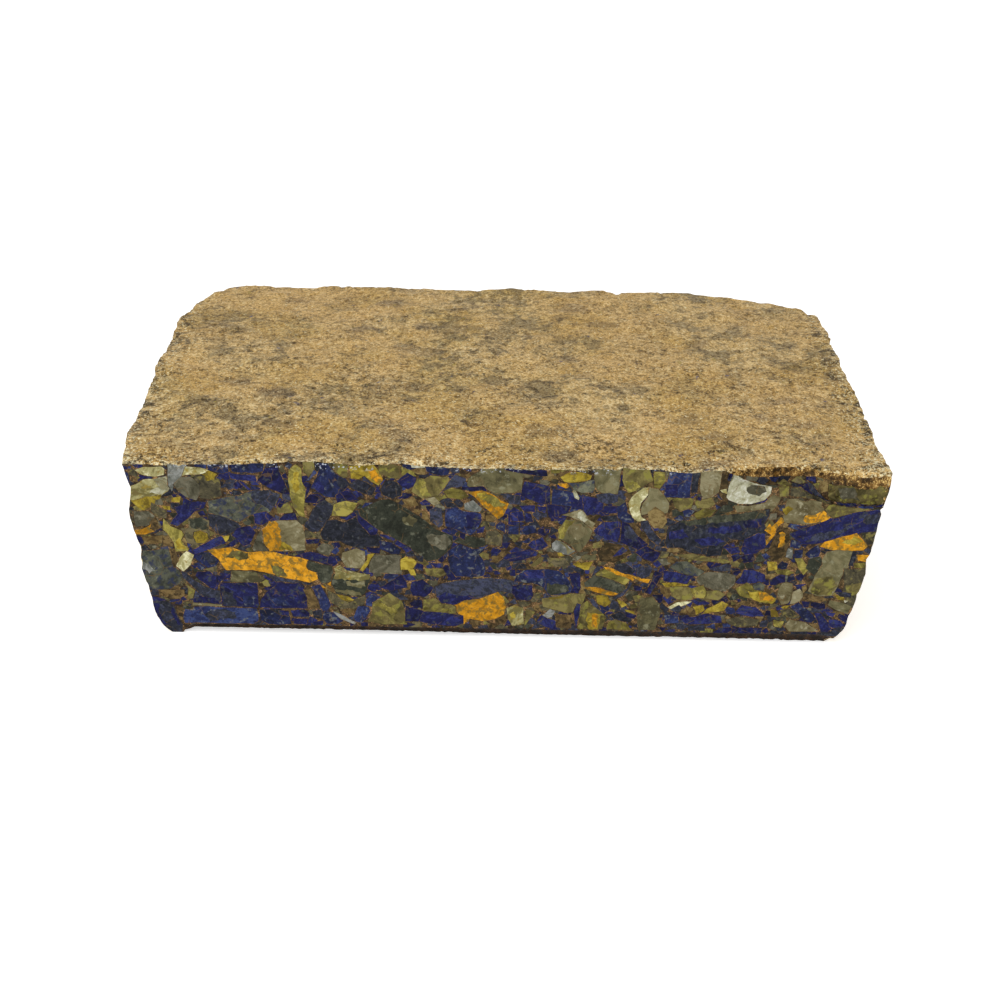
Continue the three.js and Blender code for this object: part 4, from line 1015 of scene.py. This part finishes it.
def fill_hole(built, ring, across, up, shapes, extra):
    """Fills a flat hole whose rim is the ring of vertices with faces along the shapes' outlines.

    across and up are the numbers of the two axes that the hole lies along. Returns the new faces,
    each with the shape it belongs to, or None.
    """
    level = ({0, 1, 2} - {across, up}).pop()
    height = ring[0].co[level]
    flat = flattened(ring, across, up)
    points = list(flat)
    edges = [(i, (i + 1) % len(ring)) for i in range(len(ring))]
    outlines = [list(range(len(ring)))]
    for _, _, outline in shapes:
        outlines.append(list(range(len(points), len(points) + len(outline))))
        points += outline
    for corners in outlines:
        pairs = zip(corners, corners[1:] + corners[:1])
        if sum(points[a].cross(points[b]) for a, b in pairs) < 0:
            corners.reverse()
    points += extra
    made = delaunay_2d_cdt(points, edges, outlines, TRIANGLES_INSIDE, POINTS_MERGED, True)
    places, _, faces, _, _, from_shapes = made
    known = split_rim(built, ring, flat, across, up, made)
    for at, place in enumerate(places):
        if at not in known:
            spot = [height] * 3
            spot[across], spot[up] = place
            known[at] = built.verts.new(spot)
    filled = []
    drawn = [[points[corner] for corner in corners] for corners in outlines]
    for corners, sources in zip(faces, from_shapes):
        if 0 in sources:
            face = built.faces.new([known[corner] for corner in corners])
            middle = sum((places[corner] for corner in corners), Vector((0, 0))) / len(corners)
            over = [source for source in sources if source and inside(middle, drawn[source])]
            filled.append((face, shapes[max(over) - 1] if over else None))
    for at, vertex in known.items():
        if not vertex.link_edges and not vertex.is_wire:
            built.verts.remove(vertex)
    return filled


def ring_on(built, axis):
    """The open edges that lie in the plane where one axis is 0, as a ring of vertices."""
    edges = [edge for edge in built.edges if len(edge.link_faces) < 2
             and all(abs(vertex.co[axis]) < TOUCHING for vertex in edge.verts)]
    beside = {}
    for edge in edges:
        for vertex in edge.verts:
            beside.setdefault(vertex, []).append(edge.other_vert(vertex))
    start = edges[0].verts[0]
    ring = [start, beside[start][0]]
    while True:
        before, here = ring[-2:]
        after = next(vertex for vertex in beside[here] if vertex is not before)
        if after is start:
            return ring
        ring.append(after)


def fine_points(dice):
    """Points close together where flakes cut into the sawn face, and others along its foot."""
    step = FINE_STEP
    flakes = []
    for x, z, along, _, up in TOP_FLAKES:
        for i in range(-int(along / step), int(along / step) + 1):
            for j in range(-int(up / step), int(up / step) + 1):
                off = Vector((i * step, j * step))
                if (off.x / along) ** 2 + (off.y / up) ** 2 < FLAKE_REACH:
                    flakes.append(Vector((x, z)) + off)
    foot = [Vector((i * step, (j + 0.5) * step)) for i in FOOT_CELLS for j in range(FOOT_ROWS)]
    return [[point + shaken(dice, FINE_SHAKE) for point in points] for points in (flakes, foot)]


def clear_of(points, ring, across, up):
    """Those of the points that lie inside the ring and not right next to it."""
    rim = flattened(ring, across, up)
    near = {}
    for spot in rim:
        near.setdefault((round(spot.x), round(spot.y)), []).append(spot)
    kept = []
    for point in points:
        cell = (round(point.x), round(point.y))
        close = [spot for i in (-1, 0, 1) for j in (-1, 0, 1)
                 for spot in near.get((cell[0] + i, cell[1] + j), [])]
        if inside(point, rim) and all((point - spot).length > RIM_GAP for spot in close):
            kept.append(point)
    return kept


def foot_edge(built):
    """Closes the gap along the foot of the sawn face with a straight row of edges."""
    ends = [vertex for vertex in built.verts
            if abs(vertex.co.y) < TOUCHING and abs(vertex.co.z) < TOUCHING]
    left, right = min(ends, key=lambda v: v.co.x), max(ends, key=lambda v: v.co.x)
    count = round(right.co.x - left.co.x)
    last = left
    for i in range(1, count):
        after = built.verts.new(left.co.lerp(right.co, i / count))
        built.edges.new((last, after))
        last = after
    built.edges.new((last, right))


def lay_chips(built, settings, materials, extra):
    """Fills the sawn face with its chips and what lies between them."""
    sides = built.faces.layers.int["side"]
    chip = built.faces.layers.float["chip"]
    lift = Vector((0, FACE_Z))
    drawn = [(kind, number, [point + lift for point in outline])
             for kind, number, outline in mosaic(settings)]
    ring = ring_on(built, 1)
    for face, shape in fill_hole(built, ring, 0, 2, drawn, clear_of(extra, ring, 0, 2)):
        kind, number, _ = shape or (BINDER, 0, None)
        face[sides] = SIDES.index("front")
        face[chip] = chance(number, 3, 7) * 0.5 + 0.5
        face.material_index = materials.index(kind)


def lay_base(built, materials, extra):
    """Fills the base with skin."""
    sides = built.faces.layers.int["side"]
    ring = ring_on(built, 2)
    for face, _ in fill_hole(built, ring, 0, 1, [], clear_of(extra, ring, 0, 1)):
        face[sides] = SIDES.index("base")
        face.material_index = materials.index(SKIN)


def lay_sheet(built):
    """Lays each side of the block flat on its part of the colour map."""
    sides = built.faces.layers.int["side"]
    sheet = built.loops.layers.uv.new("OFBake")
    least = (SHEET_LEFT, 0, 0)
    for face in built.faces:
        corner, scale, across, up = SHEET[SIDES[face[sides]]]
        for loop in face.loops:
            u = corner[0] + (loop.vert.co[across] - least[across]) * MM * scale
            v = corner[1] + (loop.vert.co[up] - least[up]) * MM * scale
            loop[sheet].uv = (u, v)


def moved(vertex, flakes):
    """How far breaking the flakes off moves a vertex."""
    return (flaked(vertex.co, flakes) - vertex.co).length


def mark_broken(built, materials, top_flakes):
    """Gives the undercut foot a darker material that paints the shade in its hollow, and the broken
    skin at the top edge a material of its own.
    """
    binder, skin = materials.index(BINDER), materials.index(SKIN)
    for face in built.faces:
        back = face.calc_center_median().y
        if face.material_index in (binder, skin) and back < UNDERCUT_REACH:
            if all(moved(v, hollow(v.co.x)) > 0 or v.co.z < 0.01 for v in face.verts):
                face.material_index = materials.index(UNDERCUT_SHADE)
        if face.material_index == skin and back < BROKEN_REACH:
            if any(moved(v, top_flakes) > BROKEN_MOVE for v in face.verts):
                face.material_index = materials.index(BROKEN)


def close_faces(obj, settings, materials):
    """Fills the sawn face and the base, and breaks the flakes off."""
    built = bmesh.new()
    built.from_mesh(obj.data)
    built.faces.layers.float.new("chip")
    for vertex in built.verts:
        for axis in (1, 2):
            if abs(vertex.co[axis]) < TOUCHING:
                vertex.co[axis] = 0
    foot_edge(built)
    top_points, foot_points = fine_points(random.Random(settings.seed + 1))
    lay_chips(built, settings, materials, top_points + foot_points)
    lay_base(built, materials, foot_points)
    lay_sheet(built)
    top_flakes = [(Vector((x, 0, z)), Vector(size)) for x, z, *size in TOP_FLAKES]
    mark_broken(built, materials, top_flakes)
    for vertex in built.verts:
        vertex.co = flaked(vertex.co, top_flakes + hollow(vertex.co.x))
    built.to_mesh(obj.data)
    built.free()


class Signal:
    """A value on its way through a material's nodes. Arithmetic on it adds the nodes for it."""

    def __init__(self, nodes, socket):
        self.nodes = nodes
        self.socket = socket

    def __add__(self, other):
        return self.nodes.math("ADD", self, other)

    __radd__ = __add__

    def __sub__(self, other):
        return self.nodes.math("SUBTRACT", self, other)

    def __rsub__(self, other):
        return self.nodes.math("SUBTRACT", other, self)

    def __mul__(self, other):
        return self.nodes.math("MULTIPLY", self, other)

    __rmul__ = __mul__

    def rise(self, low, high):
        """0 below the low value, 1 above the high one, and smooth between them."""
        settings = {"interpolation_type": "SMOOTHSTEP"}
        return self.nodes.add("MapRange", settings, {"Value": self, 1: low, 2: high}, "Result")


class Nodes:
    """The nodes of one material."""

    def __init__(self, name):
        self.material = bpy.data.materials.new(name)
        self.material.use_nodes = True
        self.tree = self.material.node_tree
        self.tree.nodes.clear()

    def add(self, kind, settings, inputs, output=0):
        """Adds a node with its settings and inputs, and returns one of its outputs."""
        node = self.tree.nodes.new("ShaderNode" + kind)
        for name, value in settings.items():
            setattr(node, name, value)
        for name, value in inputs.items():
            if isinstance(value, Signal):
                self.tree.links.new(value.socket, node.inputs[name])
            else:
                node.inputs[name].default_value = value
        return Signal(self, node.outputs[output]) if node.outputs else None

    def math(self, operation, *values):
        """Arithmetic on numbers."""
        return self.add("Math", {"operation": operation}, dict(enumerate(values)))

    def vector(self, operation, *values):
        """Arithmetic on places, directions or colours."""
        return self.add("VectorMath", {"operation": operation}, dict(enumerate(values)))

    def mix(self, part, below, above, blend="MIX"):
        """One colour laid over another, by part."""
        settings = {"data_type": "RGBA", "blend_type": blend}
        return self.add("Mix", settings, {0: part, 6: below, 7: above}, 2)

    def noise(self, place, size, detail=3.0, roughness=0.55, distortion=0.0, apart=None):
        """Cloudy noise around 0.5, of about the given size, taken from a place further on."""
        if apart:
            place = self.vector("ADD", place, apart)
        inputs = {"Vector": place, "Scale": 1 / size, "Detail": detail, "Roughness": roughness,
                  "Distortion": distortion}
        return self.add("TexNoise", {}, inputs)

    def shift(self, place, size):
        """A direction that wanders about over the given size, to bend a place with."""
        inputs = {"Vector": place, "Scale": 1 / size, "Detail": 2.0}
        around = self.add("TexNoise", {}, inputs, "Color")
        return self.vector("SUBTRACT", around, (0.5, 0.5, 0.5))

    def cells(self, place, size, feature="F1"):
        """How far it is to the middle, or to the edge, of cells of about the given size."""
        inputs = {"Vector": place, "Scale": 1 / size}
        return self.add("TexVoronoi", {"feature": feature}, inputs, "Distance")

    def along(self, place, axis):
        """How far a place lies along one axis."""
        return self.add("SeparateXYZ", {}, {0: place}, axis)

    def place(self, chip=None):
        """The place on the block in millimetres, moved elsewhere and turned for each chip."""
        here = self.add("TexCoord", {}, {}, "Object")
        here = self.vector("MULTIPLY", here, (1 / MM, 1 / MM, 1 / MM))
        if chip is None:
            return here
        steps = {axis: chip * far for axis, far in enumerate(CHIP_APART)}
        away = self.add("CombineXYZ", {}, steps)
        inputs = {"Vector": here, "Angle": chip * FULL_TURN}
        turned = self.add("VectorRotate", {"rotation_type": "Y_AXIS"}, inputs)
        return self.vector("ADD", turned, away)

    def finish(self, surface, bump=None, distance=0.0):
        """Adds the shader, with a bump of that height in metres, and returns the material."""
        if bump is not None:
            surface["Normal"] = self.add("Bump", {}, {"Height": bump, "Distance": distance})
        shader = self.add("BsdfPrincipled", {}, surface)
        self.add("OutputMaterial", {}, {"Surface": shader})
        return self.material


def stone_material(kind, tones, streaks):
    """A polished stone of one kind, cloudy, spotted and finely cracked, different in each chip, with
    painted highlights along the top edge.
    """
    nodes = Nodes("stone_" + kind)
    stone = KINDS[kind]
    chip = nodes.add("Attribute", {"attribute_name": "chip"}, {}, "Fac")
    place = nodes.place(chip)
    drawn_out = nodes.vector("MULTIPLY", place, (1 / stone.drawn_out, 1, 1))
    cloud = nodes.noise(drawn_out, stone.cloud, 6, 0.62, 0.6)
    fine = nodes.noise(place, 0.45, 3, 0.7)
    grainy = 0.36 if kind in BLUES else 0.18
    tone = cloud * (1 - grainy) + fine * grainy + (chip - 0.5) * 0.16
    base = nodes.mix(tone.rise(0.36, 0.5), tones["dark"], tones["main"])
    base = nodes.mix(tone.rise(0.5, 0.64), base, tones["light"])
    spots = nodes.noise(place, 0.8 * stone.cloud, 4, 0.6, apart=(17, 5, 29))
    spots = spots.rise(0.66 - stone.spotted, 0.78 - stone.spotted)
    base = nodes.mix(spots * 0.8, base, tones["spot"])
    bent = nodes.noise(place, 2.2)
    lines = nodes.cells(nodes.vector("ADD", place, bent), 3.4, "DISTANCE_TO_EDGE")
    crack = (1 - lines.rise(0.006, 0.03)) * nodes.noise(place, 4).rise(0.5, 0.62)
    base = nodes.mix(crack * 0.6, base, streaks["crack"])
    # Painted highlights: pale specks in a band along the top edge of the sawn face, where its edge
    # catches the light
    whole = nodes.place()
    top = nodes.along(whole, 2).rise(FORM["height"] - 0.9, FORM["height"] + 0.5)
    glint = top * nodes.noise(whole, 9, 1).rise(0.48, 0.56) * nodes.noise(whole, 0.6).rise(0.56, 0.63)
    base = nodes.mix(glint * 0.8, base, streaks["glint"])
    surface = {
        "Base Color": base,
        "Roughness": 0.2 + fine * 0.25,
        "Specular IOR Level": 0.06,
    }
    return nodes.finish(surface, cloud + fine * 0.4, 0.00004)


def binder_material(name, tones):
    """The bronze-coloured binder between the chips: brown, with brighter grains."""
    nodes = Nodes(name)
    place = nodes.place()
    cloud = nodes.noise(place, 1.4, 5, 0.65)
    fine = nodes.noise(place, 0.3, 2)
    base = nodes.mix(cloud.rise(0.38, 0.6), tones["dark"], tones["main"])
    base = nodes.mix((fine * 0.5 + cloud * 0.5).rise(0.53, 0.63), base, tones["light"])
    surface = {
        "Base Color": base,
        "Roughness": 0.4,
        "Specular IOR Level": 0.12,
    }
    return nodes.finish(surface, cloud * 0.5 + fine, 0.00008)


def skin_material(tones):
    """The rough bronze-coloured skin of the casting, with dull patches, dark pits that carry painted
    shade, and painted glints.
    """
    nodes = Nodes("bronze_skin")
    place = nodes.place()
    broad = nodes.noise(place, 26, 3)
    patches = nodes.noise(place, 9, 6, 0.68, apart=(40, 11, 3))
    small = nodes.noise(place, 3.0, 4, 0.65, apart=(70, 21, 5))
    grains = nodes.noise(place, 1.6, 4, 0.75)
    fine = nodes.noise(place, 0.6, 2, 0.7, apart=(9, 33, 1))
    shaded_pits = nodes.noise(place, 2.2, 5, 0.75, apart=(3, 90, 7))
    back = nodes.along(place, 1)
    to_front = 1 - back.rise(FACE_Y, FACE_Y + 16)
    edge = 1 - back.rise(FACE_Y, FACE_Y + 3.5)
    near = 1 - back.rise(FACE_Y + 10, FACE_Y + 110)
    across = nodes.math("ABSOLUTE", nodes.along(place, 0))
    rim = across.rise(82, 90)
    gritty = patches.rise(0.4, 0.58) * (0.35 + 0.45 * near) + to_front * 0.35 + edge * 0.4 + 0.14

    tone = grains * 0.5 + fine * 0.5
    base = nodes.mix(tone.rise(0.4, 0.52), tones["dark"], tones["main"])
    base = nodes.mix(tone.rise(0.52, 0.6), base, tones["light"])
    base = nodes.mix(0.32 * (1 - gritty), base, tones["main"])
    base = nodes.mix(broad.rise(0.44, 0.6) * 0.45, base, tones["olive"], "MULTIPLY")
    clusters = nodes.noise(place, 34, 2, apart=(5, 60, 2)).rise(0.4, 0.6)
    base = nodes.mix(0.38 * (1 - clusters), base, tones["copper"], "MULTIPLY")
    dull = patches.rise(0.47, 0.6) * 0.65 + small.rise(0.52, 0.6) * 0.5
    dull = dull * (0.5 + clusters)
    base = nodes.mix(dull, base, tones["dull"], "MULTIPLY")
    bent = nodes.vector("ADD", place, nodes.vector("MULTIPLY", (7, 7, 7), nodes.shift(place, 6)))
    chips = 1 - nodes.cells(nodes.vector("MULTIPLY", bent, (1, 1.5, 1)), 16).rise(0.24, 0.36)
    chips *= nodes.noise(place, 30, 2).rise(0.42, 0.48)
    base = nodes.mix(chips * 0.8, base, tones["chip"], "MULTIPLY")
    # Painted shade: the pit tone darkens the hollows that the bump sinks, more so at the front edge and
    # at the sides
    shaded_pits = (shaded_pits + edge * 0.05 + rim * 0.05).rise(0.56, 0.66) * (gritty + rim * 0.4) * 0.85
    base = nodes.mix(shaded_pits, base, tones["pit"])
    # Painted highlights: bright specks, more of them towards the front, at its edge and at the sides,
    # fewer on dull patches
    painted_glints = nodes.noise(place, 0.7, 3, 0.7)
    painted_glints = painted_glints + near * 0.025 + to_front * 0.03 + edge * 0.08 + rim * 0.06
    painted_glints = painted_glints.rise(0.61, 0.68) * (1 - dull * 0.7)
    base = nodes.mix(painted_glints, base, tones["glint"])
    for size, tone_name in ((6.3, "blue"), (5.1, "yellow")):
        crumb = 1 - nodes.cells(nodes.vector("ADD", bent, (size, 1, 2)), size).rise(0.06, 0.13)
        base = nodes.mix(crumb * patches.rise(0.5, 0.56) * 0.7, base, tones[tone_name])
    surface = {
        "Base Color": base,
        "Roughness": 0.45,
        "Metallic": 0.25 * (1 - dull),
        "Specular IOR Level": 0.3,
    }
    return nodes.finish(surface, grains + fine * 0.6 - shaded_pits, 0.0006)


def all_materials(settings):
    """The materials in the order that faces number them."""
    streaks = tones_of(settings, CRACKS_AND_HIGHLIGHTS)
    made = {kind: stone_material(kind, tones_of(settings, kind), streaks) for kind in KINDS}
    made[BINDER] = binder_material("bronze_binder", tones_of(settings, BINDER))
    # The undercut's darker binder is painted shade in the hollow foot
    made[UNDERCUT_SHADE] = binder_material("bronze_undercut_painted_shade", tones_of(settings, UNDERCUT_SHADE))
    made[BROKEN] = binder_material("broken_bronze", tones_of(settings, BROKEN))
    made[SKIN] = skin_material(tones_of(settings, SKIN))
    return made


def tone_codes():
    """Every tone of the block as (what it belongs to, its name, its code)."""
    for kind, stone in KINDS.items():
        yield from ((kind, name, getattr(stone, name)) for name in ("dark", "main", "light", "spot"))
    for metal, tones in METALS.items():
        yield from ((metal, name, code) for name, code in tones.items())


class ColourSettings(bpy.types.PropertyGroup):
    """Tones of the stones, of the binder and of the skin."""

    __annotations__ = {
        f"{kind}_{name}": FloatVectorProperty(
            name=f"{kind} {name}".replace("_", " ").capitalize(),
            description=f"The {name} tone of {kind.replace('_', ' ')}",
            subtype="COLOR", size=3, min=0, max=1, default=colour(code))
        for kind, name, code in tone_codes()
    }


def tones_of(settings, kind):
    """The tones of one kind as they stand in the settings."""
    return {name: (*getattr(settings, f"{kind}_{name}"), 1)
            for owner, name, _ in tone_codes() if owner == kind}


class BlockSettings(bpy.types.PropertyGroup):
    """Sizes of the block's surface."""

    cell: FloatProperty(name="Cell", description="Size of one cell of the skin",
                        default=0.0009, min=0.0004, unit="LENGTH")
    grain: FloatProperty(name="Grain", description="How far the skin's grains stand out",
                         default=0.00035, min=0.0, unit="LENGTH")
    rim: FloatProperty(name="Rim", description="Width of the binder round each chip",
                       default=0.00018, min=0.0, unit="LENGTH")
    crumbs: IntProperty(name="Crumbs", description="Tries at laying a crumb between the chips",
                        default=9000, min=0)
    seed: IntProperty(name="Seed", description="Number that the broken edges follow from",
                      default=7)


class StageSettings(bpy.types.PropertyGroup):
    """Sizes and brightness of the stage."""

    floor: FloatProperty(name="Floor", description="Width of the floor", default=8.0, unit="LENGTH")
    sky: FloatProperty(name="Sky", description="Brightness of the surroundings", default=0.56)
    lamp: FloatProperty(name="Lamp", description="Power of the large lamp overhead", default=4.6)
    glow: FloatProperty(name="Glow", description="How much light the floor gives off", default=0.59)
    lens: FloatProperty(name="Lens", description="Focal length in millimetres", default=57.6)
    place: FloatVectorProperty(name="Camera place", description="Where the camera stands",
                               default=(-0.001823, -0.391543, 0.217628), unit="LENGTH")
    turn: FloatVectorProperty(name="Camera turn", description="Turn to the right, tilt down, roll",
                              default=(0.0041511, 0.4945312, 0.0203331), unit="ROTATION")


def check_closed(obj):
    """Stops if the block's surface isn't closed, faces inwards or has too many triangles."""
    built = bmesh.new()
    built.from_mesh(obj.data)
    open_edges = sum(not edge.is_manifold for edge in built.edges)
    volume = built.calc_volume(signed=True)
    built.free()
    obj.data.calc_loop_triangles()
    triangles = len(obj.data.loop_triangles)
    if open_edges or volume < 0 or triangles > MOST_TRIANGLES:
        raise RuntimeError(f"{open_edges} open edges, volume {volume}, {triangles} triangles")


class STONE_OT_block(bpy.types.Operator):
    """Adds the block of pressed chips in place of the frame's plain one"""

    bl_idname = "stone.block"
    bl_label = "Add pressed block"

    def execute(self, context):
        settings = context.scene.block_settings
        obj = gridded_cube(settings)
        obj.name = "lapis_block"
        obj.data.name = "lapis_block"
        cast(obj, settings)
        saw(obj)
        materials = all_materials(context.scene.colour_settings)
        for material in materials.values():
            obj.data.materials.append(material)
        for face in obj.data.polygons:
            face.material_index = list(materials).index(SKIN)
        close_faces(obj, settings, list(materials))
        obj.scale = (MM, MM, MM)
        obj.location = (FACE_X * MM, FACE_Y * MM, 0)
        bpy.ops.object.transform_apply(location=True, rotation=True, scale=True)
        bpy.ops.object.mode_set(mode="EDIT")
        bpy.ops.mesh.select_all(action="SELECT")
        bpy.ops.mesh.normals_make_consistent(inside=False)
        if bmesh.from_edit_mesh(obj.data).calc_volume(signed=True) < 0:
            bpy.ops.mesh.flip_normals()
        bpy.ops.object.mode_set(mode="OBJECT")
        bpy.ops.object.shade_smooth_by_angle(angle=math.radians(35))
        check_closed(obj)
        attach(obj, "root")
        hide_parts(NODE)
        return {"FINISHED"}


class STONE_OT_stage(bpy.types.Operator):
    """Adds the pale floor, the soft light and the camera"""

    bl_idname = "stone.stage"
    bl_label = "Add stage"

    def execute(self, context):
        settings = context.scene.stage_settings
        bpy.ops.object.select_all(action="DESELECT")
        bpy.ops.mesh.primitive_plane_add(size=settings.floor)
        floor = bpy.context.object
        floor.name = "floor"
        nodes = Nodes("white_floor")
        white = (0.9, 0.9, 0.9, 1)
        surface = {"Base Color": white, "Roughness": 0.9, "Emission Color": white,
                   "Emission Strength": settings.glow, "Specular IOR Level": 0.0}
        floor.data.materials.append(nodes.finish(surface))

        world = bpy.data.worlds.new("studio")
        world.use_nodes = True
        sky = world.node_tree.nodes["Background"]
        sky.inputs["Color"].default_value = (1, 1, 1, 1)
        sky.inputs["Strength"].default_value = settings.sky
        context.scene.world = world

        bpy.ops.object.light_add(type="AREA", location=LAMP_PLACE)
        lamp = bpy.context.object
        lamp.name = "overhead_lamp"
        lamp.data.shape = "RECTANGLE"
        lamp.data.size, lamp.data.size_y = LAMP_SIZE
        lamp.data.energy = settings.lamp
        lamp.rotation_euler = Vector(LAMP_AIM).to_track_quat("-Z", "Y").to_euler()

        turn, tilt, roll = settings.turn
        level = Quaternion((0, 0, 1), -turn) @ Quaternion((1, 0, 0), math.pi / 2 - tilt)
        bpy.ops.object.camera_add(location=settings.place)
        camera = bpy.context.object
        camera.name = "camera"
        camera.rotation_euler = (level @ Quaternion((0, 0, 1), roll)).to_euler()
        camera.data.lens = settings.lens
        camera.data.sensor_width = 36
        camera.data.clip_end = 20
        context.scene.camera = camera
        context.scene.view_settings.view_transform = "Standard"
        return {"FINISHED"}


class STONE_PT_panel(bpy.types.Panel):
    """The block's and the stage's settings in the 3D view's sidebar."""

    bl_label = "Pressed lapis block"
    bl_space_type = "VIEW_3D"
    bl_region_type = "UI"
    bl_category = "Stone"

    def draw(self, context):
        layout = self.layout
        for group in GROUPS:
            settings = getattr(context.scene, group)
            for name in settings.__annotations__:
                layout.prop(settings, name)
        layout.operator("stone.block")
        layout.operator("stone.stage")


GROUPS = {
    "block_settings": BlockSettings,
    "colour_settings": ColourSettings,
    "stage_settings": StageSettings,
}
CLASSES = (*GROUPS.values(), STONE_OT_block, STONE_OT_stage, STONE_PT_panel)


def register():
    """Adds the settings, the operators and the panel to Blender."""
    for cls in CLASSES:
        bpy.utils.register_class(cls)
    for name, group in GROUPS.items():
        setattr(bpy.types.Scene, name, PointerProperty(type=group))


def unregister():
    """Takes them out again."""
    for name in GROUPS:
        delattr(bpy.types.Scene, name)
    for cls in reversed(CLASSES):
        bpy.utils.unregister_class(cls)


def main():
    register()
    bpy.ops.stone.block()
    bpy.ops.stone.stage()


if __name__ == "__main__":
    main()
